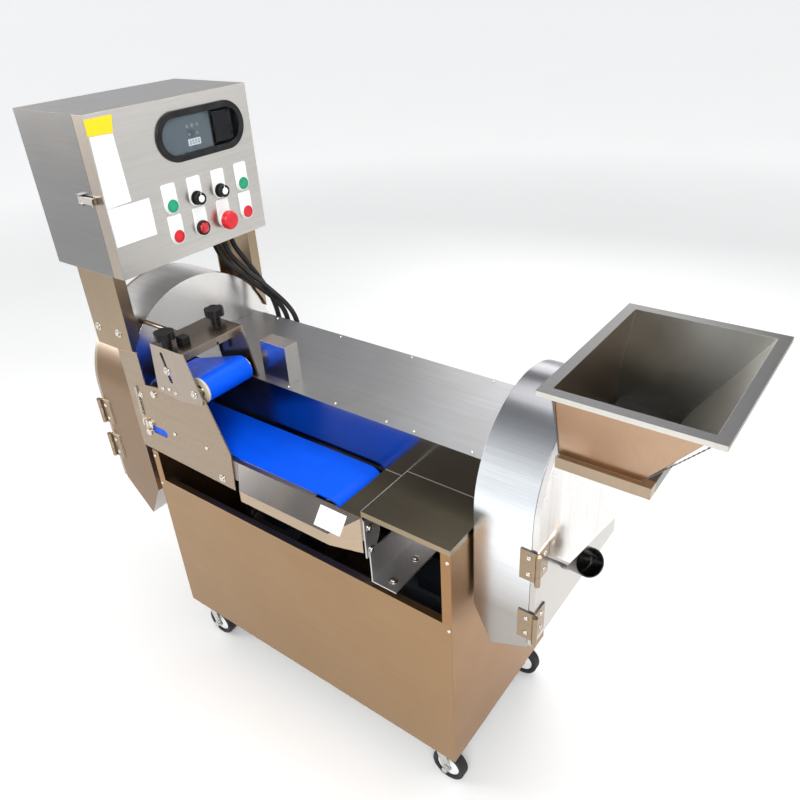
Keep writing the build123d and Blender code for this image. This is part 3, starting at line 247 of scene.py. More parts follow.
def plastic(name, colour, roughness, mottle=0.12, scale=60.0, grain=0.06, clear=0.0,
            shine=0.5):
    """Moulded plastic with a slight orange peel and worn sheen."""
    material, tree, shader = blank(name, colour, roughness=roughness)
    shader.inputs["Coat Weight"].default_value = clear
    shader.inputs["Specular IOR Level"].default_value = shine
    coords = object_coords(tree)
    cloud = noise(tree, coords, scale, 3.0)
    fine = noise(tree, coords, 1800.0, 2.0)
    colours = ((0.3, scaled(colour, 1 - mottle)), (0.7, scaled(colour, 1 + mottle)))
    tree.links.new(ramp(tree, cloud, colours), shader.inputs["Base Color"])
    tree.links.new(spread(tree, cloud, roughness - 0.05, roughness + 0.08),
                   shader.inputs["Roughness"])
    bump(tree, shader, fine, grain, 0.0004, 0.0006)
    return material


def belting(name, colour, dark):
    """Smooth blue food belt with a fine fabric weave and scuffs along its run."""
    material, tree, shader = blank(name, colour, roughness=0.42)
    shader.inputs["Specular IOR Level"].default_value = 0.12
    coords = object_coords(tree)
    cloud = noise(tree, coords, 7.0, 3.0, distortion=0.4)
    scuff = noise(tree, coords, 1.0, 3.0, (12.0, 160.0, 160.0))
    body = ramp(tree, cloud, ((0.3, dark), (0.7, colour)))
    marks = ramp(tree, scuff, ((0.35, (0.9, 0.9, 0.92)), (0.65, (1.0, 1.0, 1.0))))
    tree.links.new(blend_colours(tree, 1.0, body, marks, "MULTIPLY"), shader.inputs["Base Color"])
    weave = add_node(tree, "ShaderNodeTexWave", Scale=420.0, Distortion=0.2)
    tree.links.new(coords, weave.inputs["Vector"])
    tree.links.new(spread(tree, scuff, 0.36, 0.5), shader.inputs["Roughness"])
    bump(tree, shader, weave.outputs["Fac"], 0.05, 0.0003)
    return material


def rubber(name, colour, roughness):
    """Rubber with a faint bloom and a fine grain."""
    material, tree, shader = blank(name, colour, roughness=roughness)
    shader.inputs["Specular IOR Level"].default_value = 0.22
    coords = object_coords(tree)
    cloud = noise(tree, coords, 35.0, 4.0)
    grey = tuple(channel + 0.012 for channel in colour)
    tree.links.new(ramp(tree, cloud, ((0.4, colour), (0.8, grey))), shader.inputs["Base Color"])
    tree.links.new(spread(tree, cloud, roughness - 0.1, roughness + 0.1),
                   shader.inputs["Roughness"])
    bump(tree, shader, noise(tree, coords, 1500.0, 2.0), 0.1, 0.0004, 0.0006)
    return material


# Tests that the areas of the steels use; most of these areas paint light, shade and reflection on
# faces picked by direction, height and place
UPWARD = (facing, "Z", 0.5, 0.9)
FORWARD = (facing, "Y", -0.6, -0.95)
INNER_BACK = (facing, "Y", -0.25, -0.6)
TABLE_EDGE = CABINET_LEFT + 0.614
WALL_FRONT = CABINET_FRONT + 0.138
BACK_RAIL = CABINET_FRONT + 0.126
BOX_DOOR_EDGE = CABINET_FRONT + 0.023
HOPPER_FOOT_TOP, HOPPER_FOOT_FRONT = 0.85, -0.088
LEAF_ON_FRONT, LEAF_ON_DOOR = (0.0010, 0.0025), (0.0007, 0.0015)
HINGE = ((0.33, 0.25, 0.17), 0.28)

steel_areas = {
    # Painted shade on the cover: forward faces a little darker, and nearly black towards the left
    # end
    "cover_steel": (
        ((FORWARD,), (0.36, 0.35, 0.34), 0.13),
        ((FORWARD, (beyond, "X", -0.19, -0.23)), (0.05, 0.05, 0.055), 0.4)),
    # Painted reflection and highlights on the feed table: side and down faces tan as painted
    # reflection of a tan floor, and bright strips on the top at the left edge and along the wall as
    # painted highlights
    "table_steel": (
        (((facing, "Z", 0.5, 0.1),), (0.34, 0.27, 0.18), 0.22),
        ((UPWARD, (beyond, "X", TABLE_EDGE + 0.0016, TABLE_EDGE + 0.0012),
          (beyond, "X", TABLE_EDGE - 0.0004, TABLE_EDGE)), (0.92, 0.92, 0.9), 0.3),
        ((UPWARD, (beyond, "Y", WALL_FRONT - 0.0014, WALL_FRONT - 0.0010)),
         (0.80, 0.78, 0.74), 0.3)),
    # The trough's upward sloping faces are dark as painted reflection
    "trough_steel": (
        (((facing, "Z", 0.3, 0.6),), (0.125, 0.118, 0.115), 0.2),),
    # The rail beyond BACK_RAIL is dark blue as painted reflection of the belt
    "rail_steel": (
        (((beyond, "Y", BACK_RAIL - 0.001, BACK_RAIL),), (0.010, 0.018, 0.060), 0.35),),
    # The door's front edge, in front of BOX_DOOR_EDGE, is tan as painted reflection of a tan floor
    "box_steel": (
        ((proud("Y", BOX_DOOR_EDGE, -1, -0.0025, 0.0),), (0.36, 0.27, 0.19), 0.3),),
    # The box's upward faces are lighter than its dark sides as painted light
    "box_side_steel": (
        ((UPWARD,), (0.60, 0.60, 0.60), 0.33),),
    # The left head's forward faces are dark tan as painted reflection of a tan floor
    "left_head_steel": (
        ((FORWARD,), (0.25, 0.165, 0.10), 0.3),
        ((proud("Y", LEFT_HEAD["front"], -1, *LEAF_ON_FRONT),), *HINGE)),
    "left_door_steel": (
        ((proud("X", LEFT_HEAD["door_face"], LEFT_HEAD["out"], *LEAF_ON_DOOR),), *HINGE),),
    # Painted shade on the right head: upward faces dark, and the part below 0.66 m darker than the
    # bright upper part, which is painted highlight
    "right_head_steel": (
        (((facing, "Z", 0.45, 0.9),), (0.19, 0.19, 0.20), 0.25),
        (((beyond, "Z", 0.66, 0.52),), (0.38, 0.36, 0.34), 0.27),
        ((proud("Y", RIGHT_HEAD["front"], -1, *LEAF_ON_FRONT),), *HINGE)),
    # The right door's lower part, below 0.80 m, is darker as painted shade; the bright upper part
    # is painted highlight
    "right_door_steel": (
        (((beyond, "Z", 0.80, 0.60),), (0.53, 0.505, 0.48), 0.26),
        ((proud("X", RIGHT_HEAD["door_face"], RIGHT_HEAD["out"], *LEAF_ON_DOOR),), *HINGE)),
    # Painted light and shade on the hopper by face direction: faces looking +X dark, faces looking
    # -Y grey and lighter towards the top as painted highlight, faces looking -X bright as painted
    # light, the rim top dark as painted shade, and faces looking down and the lower front tan as
    # painted reflection of a tan floor
    "hopper_steel": (
        (((facing, "X", 0.25, 0.6),), (0.15, 0.16, 0.135), 0.32),
        ((INNER_BACK,), (0.38, 0.38, 0.36), 0.24),
        (((facing, "X", -0.25, -0.6),), (0.85, 0.84, 0.80), 0.3),
        ((INNER_BACK, (beyond, "Z", 0.91, 0.985)), (0.68, 0.68, 0.64), 0.24),
        (((facing, "Z", 0.02, -0.2),), (0.56, 0.37, 0.24), 0.26),
        (((facing, "Z", 0.9, 0.97),), (0.15, 0.15, 0.15), 0.42),
        ((proud("Y", HOPPER_FOOT_FRONT, -1, 0.0, 0.002),
          proud("Z", HOPPER_FOOT_TOP, -1, 0.0, 0.0005)), (0.40, 0.31, 0.22), 0.3)),
}

# Colour, roughness, grain, share and colour of tarnish
PLAIN_TARNISH = (0.36, 0.27, 0.20)
# The sheet stainless parts are one steel in lit and shaded copies: each part's lightness and tint
# is painted light, shade and reflection. right_head_steel, right_door_steel and chute_steel are
# made bright as painted highlight, table_steel and tube_steel are made dark as painted shade, and
# the tan tints are painted reflection of a tan floor.
steels = {
    "cover_steel": ((0.38, 0.38, 0.385), 0.42, "x", 0.3, (0.28, 0.26, 0.24)),
    "table_steel": ((0.108, 0.091, 0.065), 0.33, "x", 0.3, (0.085, 0.078, 0.06)),
    "trough_steel": ((0.46, 0.36, 0.26), 0.22, "x", 0.3, PLAIN_TARNISH),
    "plate_steel": ((0.34, 0.265, 0.195), 0.27, "x", 0.15, PLAIN_TARNISH),
    "rail_steel": ((0.28, 0.25, 0.225), 0.3, "x", 0.1, PLAIN_TARNISH),
    "box_steel": ((0.60, 0.58, 0.55), 0.30, "y", 0.2, (0.48, 0.45, 0.41)),
    "box_side_steel": ((0.25, 0.25, 0.25), 0.33, "x", 0.15, PLAIN_TARNISH),
    "column_steel": ((0.345, 0.262, 0.175), 0.3, "z", 0.15, PLAIN_TARNISH),
    "left_head_steel": ((0.74, 0.72, 0.70), 0.24, "x", 0.08, PLAIN_TARNISH),
    "left_door_steel": ((0.42, 0.35, 0.28), 0.27, "z", 0.1, PLAIN_TARNISH),
    "right_head_steel": ((0.86, 0.90, 0.94), 0.25, "x", 0.2, (0.50, 0.52, 0.56)),
    "right_door_steel": ((0.90, 0.89, 0.88), 0.26, "z", 0.15, (0.60, 0.54, 0.47)),
    "chute_steel": ((0.84, 0.83, 0.82), 0.26, "z", 0.3, (0.50, 0.47, 0.44)),
    "hopper_steel": ((0.34, 0.335, 0.32), 0.28, "z", 0.25, (0.24, 0.20, 0.16)),
    "bracket_steel": ((0.37, 0.315, 0.265), 0.24, "z", 0.12, PLAIN_TARNISH),
    "drive_cover_steel": ((0.60, 0.58, 0.54), 0.24, "x", 0.12, PLAIN_TARNISH),
    "tension_steel": ((0.60, 0.60, 0.61), 0.42, "z", 0.1, PLAIN_TARNISH),
    "tube_steel": ((0.15, 0.15, 0.155), 0.22, "x", 0.1, PLAIN_TARNISH),
    "frame_steel": ((0.16, 0.15, 0.14), 0.45, "x", 0.3, PLAIN_TARNISH),
    "bright_steel": ((0.66, 0.63, 0.57), 0.2, "y", 0.2, PLAIN_TARNISH),
    "knife_steel": ((0.7, 0.7, 0.7), 0.16, "y", 0.1, PLAIN_TARNISH),
    "iron": ((0.22, 0.22, 0.225), 0.45, "x", 0.3, PLAIN_TARNISH),
    "zinc": ((0.62, 0.63, 0.62), 0.3, "z", 0.3, (0.5, 0.47, 0.4)),
}
finishes = {name: steel(name, *look, areas=steel_areas.get(name, ()))
            for name, look in steels.items()}

# The cabinet's large panels are calmer; their tan colours are painted reflection of a tan floor
for name, colour, grain, tarnish in (
        ("cabinet_steel", (0.345, 0.218, 0.113), "x", (0.41, 0.28, 0.17)),
        ("side_steel", (0.35, 0.198, 0.092), "y", (0.41, 0.26, 0.15))):
    finishes[name] = steel(name, colour, 0.36, grain, 0.2, tarnish, contrast=0.04, streak=0.025)

finishes["belt_blue"] = belting("belt_blue", (0.0003, 0.092, 0.78), (0.0003, 0.074, 0.68))
for name, colour, roughness in (("bezel_rubber", (0.008, 0.008, 0.009), 0.4),
                                ("cable_black", (0.009, 0.009, 0.010), 0.38),
                                ("vee_belt", (0.015, 0.015, 0.016), 0.7),
                                ("tyre", (0.02, 0.02, 0.022), 0.6)):
    finishes[name] = rubber(name, colour, roughness)
for name, colour, roughness, options in (
        ("black_plastic", (0.007, 0.007, 0.008), 0.3, {"shine": 0.2}),
        ("white_plastic", (0.80, 0.80, 0.79), 0.4, {"mottle": 0.03}),
        ("cream_plastic", (0.62, 0.55, 0.40), 0.45, {"mottle": 0.08}),
        ("green_plastic", (0.0, 0.30, 0.15), 0.3, {"clear": 0.15}),
        ("red_plastic", (0.60, 0.004, 0.012), 0.3, {"clear": 0.15}),
        ("lamp_red", (0.50, 0.002, 0.006), 0.15, {"clear": 0.5}),
        ("motor_paint", (0.012, 0.016, 0.022), 0.5, {"mottle": 0.1, "scale": 25.0}),
        ("gear_grey", (0.28, 0.29, 0.30), 0.5, {"mottle": 0.08, "scale": 25.0}),
        ("display_grey", (0.125, 0.148, 0.165), 0.3, {"mottle": 0.08, "scale": 25.0}),
        ("label_film", (0.82, 0.83, 0.84), 0.3, {"mottle": 0.02}),
        ("yellow_film", (0.86, 0.58, 0.0), 0.35, {"mottle": 0.03})):
    finishes[name] = plastic(name, colour, roughness, **options)
glass, glass_tree, glass_shader = blank("window_pane", (0.86, 0.90, 0.92), roughness=0.03)
glass_shader.inputs["Transmission Weight"].default_value = 1.0
glass_shader.inputs["IOR"].default_value = 1.12
dust = noise(glass_tree, object_coords(glass_tree), 90.0, 4.0)
glass_tree.links.new(spread(glass_tree, dust, 0.02, 0.10), glass_shader.inputs["Roughness"])
finishes["window_pane"] = glass

node_finish = {
    "base_frame": "frame_steel", "cabinet_front_panel": "cabinet_steel",
    "side_panels": "side_steel", "cabinet_back_panel": "cabinet_steel",
    "conveyor_frame": "rail_steel", "conveyor_belt": "belt_blue", "press_belt": "belt_blue",
    "conveyor_drive_roller": "bright_steel", "conveyor_tail_roller": "bright_steel",
    "press_drive_roller": "bright_steel", "press_nose_roller": "bright_steel",
    "top_cover": "cover_steel", "feed_table": "table_steel", "front_trough": "trough_steel",
    "front_side_plate": "plate_steel", "press_bridge": "bracket_steel",
    "press_frame": "bracket_steel", "drive_cover": "drive_cover_steel",
    "tension_bracket": "tension_steel", "left_head_housing": "left_head_steel",
    "left_door": "left_door_steel", "right_head_housing": "right_head_steel",
    "right_door": "right_door_steel", "feed_chute": "chute_steel", "hopper": "hopper_steel",
    "feed_tube": "tube_steel", "left_knife_rotor": "knife_steel",
    "right_cutting_disc": "knife_steel", "left_knife_shaft": "iron", "right_disc_shaft": "iron",
    "left_motor_pulley": "iron", "right_motor_pulley": "iron", "drive_motors": "motor_paint",
    "drive_belts": "vee_belt", "control_box_body": "box_side_steel", "control_door": "box_steel",
    "box_latch": "bright_steel", "box_column": "column_steel", "control_gear": "gear_grey",
    "window_bezel": "bezel_rubber", "window_glass": "window_pane",
    "panel_instruments": "black_plastic", "start_button_left": "green_plastic",
    "start_button_right": "green_plastic", "stop_button_left": "red_plastic",
    "stop_button_right": "red_plastic", "emergency_stop": "red_plastic",
    "speed_knob_left": "black_plastic", "speed_knob_right": "black_plastic",
    "star_knob_front": "black_plastic", "star_knob_back": "black_plastic",
    "control_cables": "cable_black",
}
corners = ("front_left", "front_right", "rear_left", "rear_right")
for corner in corners:
    node_finish["castor_fork_" + corner] = "zinc"
    node_finish["castor_wheel_" + corner] = "tyre"
for node_name, finish in node_finish.items():
    slots = bpy.data.objects[node_name].data.materials
    if not slots:
        slots.append(finishes[finish])
    for index in range(len(slots)):
        slots[index] = finishes[finish]


# Helpers for shapes
def frame_of(along):
    """Turn that takes Z to a direction."""
    return Vector(along).to_track_quat("Z", "Y").to_matrix().to_4x4()


def lathe(mesh, profile, place, along, segments=28):
    """Surface of revolution of (radius, height) points about a line from place."""
    turn_to = Matrix.Translation(place) @ frame_of(along)
    rings = []
    for radius, height in profile:
        if radius == 0:
            rings.append([mesh.verts.new(turn_to @ Vector((0, 0, height)))])
            continue
        rings.append([mesh.verts.new(turn_to @ Vector((radius * cos(tau * i / segments),
                                                       radius * sin(tau * i / segments), height)))
                      for i in range(segments)])
    for lower, upper in zip(rings, rings[1:]):
        for i in range(segments):
            j = (i + 1) % segments
            face = [lower[i % len(lower)], lower[j % len(lower)],
                    upper[j % len(upper)], upper[i % len(upper)]]
            face = list(dict.fromkeys(face))
            if len(face) > 2:
                mesh.faces.new(face)


def prism(mesh, outline, place, across, up, thickness):
    """Slab with a flat outline of (across, up) points, thick towards across x up."""
    across, up = Vector(across).normalized(), Vector(up).normalized()
    out = across.cross(up) * thickness
    base = [mesh.verts.new(place + across * a + up * b) for a, b in outline]
    top = [mesh.verts.new(vert.co + out) for vert in base]
    mesh.faces.new(list(reversed(base)))
    mesh.faces.new(top)
    for i in range(len(outline)):
        j = (i + 1) % len(outline)
        mesh.faces.new((base[i], base[j], top[j], top[i]))


def piece(name, build, finish, body, bevel=0.0, smooth=True):
    """New object from a function that fills a bmesh; it rides on a body."""
    mesh = bmesh.new()
    build(mesh)
    bmesh.ops.recalc_face_normals(mesh, faces=mesh.faces)
    data = bpy.data.meshes.new(name)
    mesh.to_mesh(data)
    mesh.free()
    made = bpy.data.objects.new(name, data)
    bpy.context.scene.collection.objects.link(made)
    data.materials.append(finishes[finish])
    if smooth:
        for polygon in data.polygons:
            polygon.use_smooth = True
    if bevel:
        rounding = made.modifiers.new("edges", "BEVEL")
        rounding.width = bevel
        rounding.segments = 2
        rounding.limit_method = "ANGLE"
    if smooth:
        normals = made.modifiers.new("normals", "WEIGHTED_NORMAL")
        normals.keep_sharp = True
    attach(made, body)
    return made


def rounded(half_width, low, high, radius, steps=6):
    """Outline of a rectangle with round corners, about x = 0."""
    points = []
    for cx, cz, start in ((half_width - radius, high - radius, 0),
                          (-half_width + radius, high - radius, 90),
                          (-half_width + radius, low + radius, 180),
                          (half_width - radius, low + radius, 270)):
        for i in range(steps + 1):
            angle = radians(start + 90 * i / steps)
            points.append((cx + radius * cos(angle), cz + radius * sin(angle)))
    return points


def screw_head(mesh, place, along, radius, height=None):
    """Pan head with a socket in it, seated on the surface at place."""
    height = height or radius * 0.62
    profile = ((0, height * 0.35), (radius * 0.40, height * 0.35), (radius * 0.44, height),
               (radius * 0.74, height * 0.96), (radius * 0.94, height * 0.62),
               (radius, height * 0.15), (radius, -0.0004))
    lathe(mesh, profile, place, along, 20)


def bolt_head(mesh, place, along, radius, height=None):
    """Hexagon head on a washer."""
    height = height or radius * 0.75
    lathe(mesh, ((0, 0.0012), (radius * 1.45, 0.0012), (radius * 1.5, 0.0006),
                 (radius * 1.5, -0.0004)), place, along, 24)
    lathe(mesh, ((0, height), (radius * 0.82, height), (radius, height * 0.82),
                 (radius, 0.0008)), place, along, 6)


# Cables from the control box to the duct behind the cabinet
cable_routes = {
    "cable_a": ((-40, 330, 971), (-38, 334, 930), (-12, 352, 884), (36, 378, 836), (84, 402, 782),
                (104, 403, 736), (104, 403, 668)),
    "cable_b": ((-42, 306, 971), (-40, 312, 928), (-12, 331, 884), (22, 364, 838), (56, 400, 786),
                (72, 403, 736), (72, 403, 668)),
    "cable_c": ((-38, 354, 971), (-36, 357, 934), (-14, 371, 894), (6, 388, 848), (28, 401, 796),
                (40, 403, 736), (40, 403, 668)),
}
CABLE_DIAMETER = 0.012
for cable_name, route in cable_routes.items():
    curve = bpy.data.curves.new(cable_name, "CURVE")
    curve.dimensions = "3D"
    curve.bevel_depth = CABLE_DIAMETER / 2
    curve.bevel_resolution = 5
    curve.resolution_u = 16
    curve.use_fill_caps = True
    spline = curve.splines.new("NURBS")
    spline.points.add(len(route) - 1)
    for point, place in zip(spline.points, route):
        point.co = (*at(*place), 1)
    spline.order_u = 3
    spline.use_endpoint_u = True
    cable = bpy.data.objects.new(cable_name, curve)
    bpy.context.scene.collection.objects.link(cable)
    curve.materials.append(finishes["cable_black"])
    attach(cable, "machine")
    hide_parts("control_cables")


def glands(mesh):
    gland = ((0.0062, 0.0), (0.0105, 0.0), (0.0105, 0.004), (0.0092, 0.005), (0.0092, 0.011),
             (0.0075, 0.014), (0.0062, 0.014), (0.0062, 0.0))
    for route in cable_routes.values():
        x, y, z = route[0]
        lathe(mesh, gland, at(x, y, z), -Z, 24)
        x, y, z = route[-1]
        lathe(mesh, gland, at(x, y, 690), Z, 24)


piece("cable_glands", glands, "black_plastic", "machine")

# Controls on the box door
DOOR_FACE_X = at(25.6, 0, 0).x
control_columns = [CABINET_FRONT + (169 + 64.5 * i) / 1000 for i in range(4)]
TOP_ROW, LOWER_ROW = 1.082, 1.019
PLATE_HALF, PLATE_ABOVE, PLATE_THICK = 0.0172, 0.044, 0.0024


def legend_plates(mesh):
    arc = [(PLATE_HALF * cos(radians(a)), PLATE_HALF * sin(radians(a)))
           for a in range(180, 361, 12)]
    corner = 0.003
    outline = arc + [(PLATE_HALF, PLATE_ABOVE - corner), (PLATE_HALF - corner, PLATE_ABOVE),
                     (-PLATE_HALF + corner, PLATE_ABOVE), (-PLATE_HALF, PLATE_ABOVE - corner)]
    for z in (TOP_ROW, LOWER_ROW):
        for y in control_columns:
            prism(mesh, outline, Vector((DOOR_FACE_X, y, z)), Y, Z, PLATE_THICK)


piece("legend_plates", legend_plates, "white_plastic", "control_door",
      bevel=0.0007)


def push_collars(mesh):
    collar = ((0.0130, 0.0), (0.0155, 0.0), (0.0155, 0.0058), (0.0149, 0.0066),
              (0.0135, 0.0066), (0.0130, 0.0060), (0.0130, 0.0))
    for z, y in ((TOP_ROW, control_columns[0]), (TOP_ROW, control_columns[3]),
                 (LOWER_ROW, control_columns[0]), (LOWER_ROW, control_columns[3]),
                 (LOWER_ROW, control_columns[2])):
        lathe(mesh, collar, Vector((DOOR_FACE_X, y, z)), X, 32)


piece("push_collars", push_collars, "white_plastic", "control_door")


# Rims round the pushes, which stay when a push goes in
for button, column, row, finish in (("start_left", 0, TOP_ROW, "green_plastic"),
                                    ("start_right", 3, TOP_ROW, "green_plastic"),
                                    ("stop_left", 0, LOWER_ROW, "red_plastic"),
                                    ("stop_right", 3, LOWER_ROW, "red_plastic")):

    def push_rim(mesh):
        lathe(mesh, ((0.0097, 0.0059), (0.0129, 0.0059), (0.0129, 0.0074), (0.0125, 0.0080),
                     (0.0101, 0.0081), (0.0097, 0.0080), (0.0097, 0.0059)),
              Vector((DOOR_FACE_X, control_columns[column], row)), X, 36)

    piece("push_rim_" + button, push_rim, finish, "control_door")


def lamp_lens(mesh):
    place = Vector((DOOR_FACE_X + 0.0095, control_columns[1], LOWER_ROW))
    lathe(mesh, ((0, 0.0044), (0.006, 0.0040), (0.0103, 0.0024), (0.0121, 0.0),
                 (0.0121, -0.0035), (0, -0.0035)), place, X, 32)


def lamp_ring(mesh):
    place = Vector((DOOR_FACE_X, control_columns[1], LOWER_ROW))
    lathe(mesh, ((0.0122, 0.0), (0.0154, 0.0), (0.0154, 0.0085), (0.0146, 0.0104),
                 (0.0128, 0.0104), (0.0122, 0.0095), (0.0122, 0.0)), place, X, 32)


piece("lamp_lens", lamp_lens, "lamp_red", "control_door")
piece("lamp_ring", lamp_ring, "black_plastic", "control_door")

for side, column in (("left", control_columns[1]), ("right", control_columns[2])):
    knob_face = Vector((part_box("speed_knob_" + side)[1].x, column, TOP_ROW))

    def knob_cap(mesh):
        lathe(mesh, ((0, 0.0016), (0.0062, 0.0016), (0.0072, 0.0008), (0.0074, -0.0006)),
              knob_face, X, 32)

    def knob_pointer(mesh):
        prism(mesh, ((-0.0007, 0.0075), (0.0007, 0.0075), (0.0007, 0.0119), (-0.0007, 0.0119)),
              knob_face, Y, Z, 0.0004)

    piece("knob_cap_" + side, knob_cap, "white_plastic", "speed_knob_" + side)
    piece("knob_pointer_" + side, knob_pointer, "white_plastic", "speed_knob_" + side,
          smooth=False)

# Behind the window: a display with a small counter, and a dark unit beside it
window_mid = at(0, 279, 1207.5)
DISPLAY_FRONT, COUNTER_FRONT, DIGIT_FRONT = (DOOR_FACE_X - back
                                             for back in (0.00210, 0.00206, 0.00203))


def display(mesh):
    prism(mesh, rounded(0.064, -0.0405, 0.0405, 0.003),
          Vector((DISPLAY_FRONT - 0.0004, window_mid.y - 0.038, window_mid.z)), Y, Z, 0.0004)


def counter(mesh):
    prism(mesh, rounded(0.016, -0.024, -0.011, 0.001),
          Vector((COUNTER_FRONT - 0.0004, window_mid.y - 0.020, window_mid.z)), Y, Z, 0.0004)


def counter_digits(mesh):
    for i in range(4):
        place = Vector((DIGIT_FRONT - 0.0002, window_mid.y - 0.0305 + i * 0.007,
                        window_mid.z - 0.0175))
        for low, high in ((-0.0040, -0.0030), (0.0030, 0.0040)):
            prism(mesh, ((-0.0020, low), (0.0020, low), (0.0020, high), (-0.0020, high)),
                  place, Y, Z, 0.0002)
        for left, right in ((-0.0020, -0.0011), (0.0011, 0.0020)):
            prism(mesh, ((left, -0.0029), (right, -0.0029), (right, 0.0029), (left, 0.0029)),
                  place, Y, Z, 0.0002)


def display_keys(mesh):
    for y, half, z in ((-0.033, 0.0035, 0.014), (-0.020, 0.0042, 0.014), (-0.007, 0.0035, 0.014),
                       (-0.030, 0.0028, -0.002), (-0.010, 0.0028, -0.002)):
        lathe(mesh, ((0, 0.0), (half * 0.8, 0.0), (half, -0.00002), (half, -0.0004)),
              Vector((DIGIT_FRONT, window_mid.y + y, window_mid.z + z)), X, 20)


piece("display_face", display, "display_grey", "control_door", smooth=False)
piece("display_counter", counter, "label_film", "control_door", smooth=False)
piece("display_digits", counter_digits, "black_plastic", "control_door",
      smooth=False)
piece("display_keys", display_keys, "gear_grey", "control_door")


# Screws and bolts
def cover_screws(mesh):
    for x in (317, 442, 566, 629, 751):
        screw_head(mesh, at(x, 147, 756), Z, 0.0032)
    for x in (60, 260, 460, 660):
        screw_head(mesh, at(x, 377, 756), Z, 0.0032)


def bracket_bolts(mesh):
    bolt_head(mesh, at(215, -6, 783), -Y, 0.0058)
    bolt_head(mesh, at(143, -6, 815), -Y, 0.0060)
    for x, z in ((115, 767), (137, 772), (156, 768)):
        screw_head(mesh, at(x, -6, z), -Y, 0.0042)


def plate_bolts(mesh):
    for x, z in ((111, 653), (213, 655)):
        screw_head(mesh, at(x, -3, z), -Y, 0.0042)
    bolt_head(mesh, at(243, -3, 590), -Y, 0.006)
    bolt_head(mesh, at(20, -3, 722), -Y, 0.005)


def column_bolts(mesh):
    for x in (-121, -49):
        bolt_head(mesh, at(x, 24, 838), -Y, 0.0062)
        bolt_head(mesh, at(x, 414, 838), Y, 0.0062)


def tension_bolts(mesh):
    for z in (575, 625):
        bolt_head(mesh, at(621, 12, z), X, 0.0058)
    bolt_head(mesh, at(655, 26, 503), Z, 0.0058)
    bolt_head(mesh, at(655, 96, 503), Z, 0.0058)


def cabinet_rivets(mesh):
    for x, z in ((6, 480), (794, 480), (794, 640), (6, 556)):
        screw_head(mesh, at(x, 0, z), -Y, 0.0038)


def fixed_leaf_screws(head):
    def build(mesh):
        for low in head["lows"]:
            for z in (low + 0.014, low + 0.048):
                place = Vector((head["door_face"] - head["out"] * 0.013, head["front"] - 0.0025, z))
                screw_head(mesh, place, -Y, 0.0046, 0.0020)
    return build


def door_leaf_screws(head):
    def build(mesh):
        for low in head["lows"]:
            for z in (low + 0.014, low + 0.048):
                place = Vector((head["door_face"] + head["out"] * 0.0025, head["front"] + 0.022, z))
                screw_head(mesh, place, head["out"] * X, 0.0046, 0.0020)
    return build


for screws_name, build, body in (
        ("cover_screws", cover_screws, "machine"), ("bracket_bolts", bracket_bolts, "machine"),
        ("plate_bolts", plate_bolts, "machine"), ("column_bolts", column_bolts, "machine"),
        ("tension_bolts", tension_bolts, "machine"), ("cabinet_rivets", cabinet_rivets, "machine"),
        ("left_leaf_screws", fixed_leaf_screws(LEFT_HEAD), "machine"),
        ("right_leaf_screws", fixed_leaf_screws(RIGHT_HEAD), "machine"),
        ("left_door_screws", door_leaf_screws(LEFT_HEAD), "left_door"),
        ("right_door_screws", door_leaf_screws(RIGHT_HEAD), "right_door")):
    piece(screws_name, build, "bright_steel", body)


# Cream end ring on the nose roller
def nose_ring(mesh):
    lathe(mesh, ((0.0118, 0.0), (0.0118, 0.0009), (0.0258, 0.0009), (0.0266, 0.0003),
                 (0.0266, -0.0026), (0.0232, -0.0026), (0.0232, 0.0), (0.0118, 0.0)),
          at(214, 12, 783), -Y, 48)


def belt_edge_in_slot(mesh):
    prism(mesh, rounded(0.0235, -0.0085, 0.0085, 0.0084), at(57, 0, 640), X, Z, 0.0006)


# A thin black disc stands for the hole in the bridge lip: painted shade inside a hole
def lip_hole(mesh):
    lathe(mesh, ((0, 0.0002), (0.0028, 0.0002), (0.0028, -0.0004), (0, -0.0004)),
          at(204, 81, 855), X, 20)


piece("nose_roller_ring", nose_ring, "cream_plastic", "press_nose_roller")
piece("belt_edge_in_slot", belt_edge_in_slot, "belt_blue", "machine", smooth=False)
piece("bridge_lip_hole", lip_hole, "black_plastic", "machine")


# Toggle latch and its chain on the front side plate
def toggle(mesh):
    base = at(16, -3, 652)
    prism(mesh, rounded(0.010, -0.009, 0.009, 0.002), base, X, Z, 0.0016)
    prism(mesh, rounded(0.0075, -0.0065, 0.0065, 0.0015), base + X * 0.017, X, Z, 0.0045)
    lathe(mesh, ((0, 0), (0.0028, 0), (0.0028, 0.020), (0, 0.020)),
          base + Vector((0.006, -0.0040, -0.010)), Z, 16)
    lathe(mesh, ((0, 0), (0.0022, 0), (0.0022, 0.016), (0, 0.016)),
          base + Vector((-0.006, -0.0036, -0.008)), Z, 16)


def chain(mesh):
    top, bottom = at(10, -5.4, 739), at(11, -5.4, 668)
    links = 11
    for i in range(links):
        centre = top.lerp(bottom, (i + 0.5) / links)
        wide = Y if i % 2 else X
        ring = []
        for k in range(12):
            angle = tau * k / 12
            ring.append(centre + Z * 0.0044 * sin(angle) + wide * 0.0021 * cos(angle))
        for k in range(12):
            a, b = ring[k], ring[(k + 1) % 12]
            lathe(mesh, ((0.0009, 0), (0.0009, (b - a).length)), a, b - a, 6)


piece("toggle_latch", toggle, "bright_steel", "machine", bevel=0.0004)
piece("latch_chain", chain, "bright_steel", "machine")


# Limit switch beside the back of the bridge
def limit_switch(mesh):
    prism(mesh, rounded(0.0105, -0.0102, 0.005, 0.002), at(165, 40, 877), X, Z, 0.018)


piece("limit_switch", limit_switch, "black_plastic", "machine", bevel=0.0008)


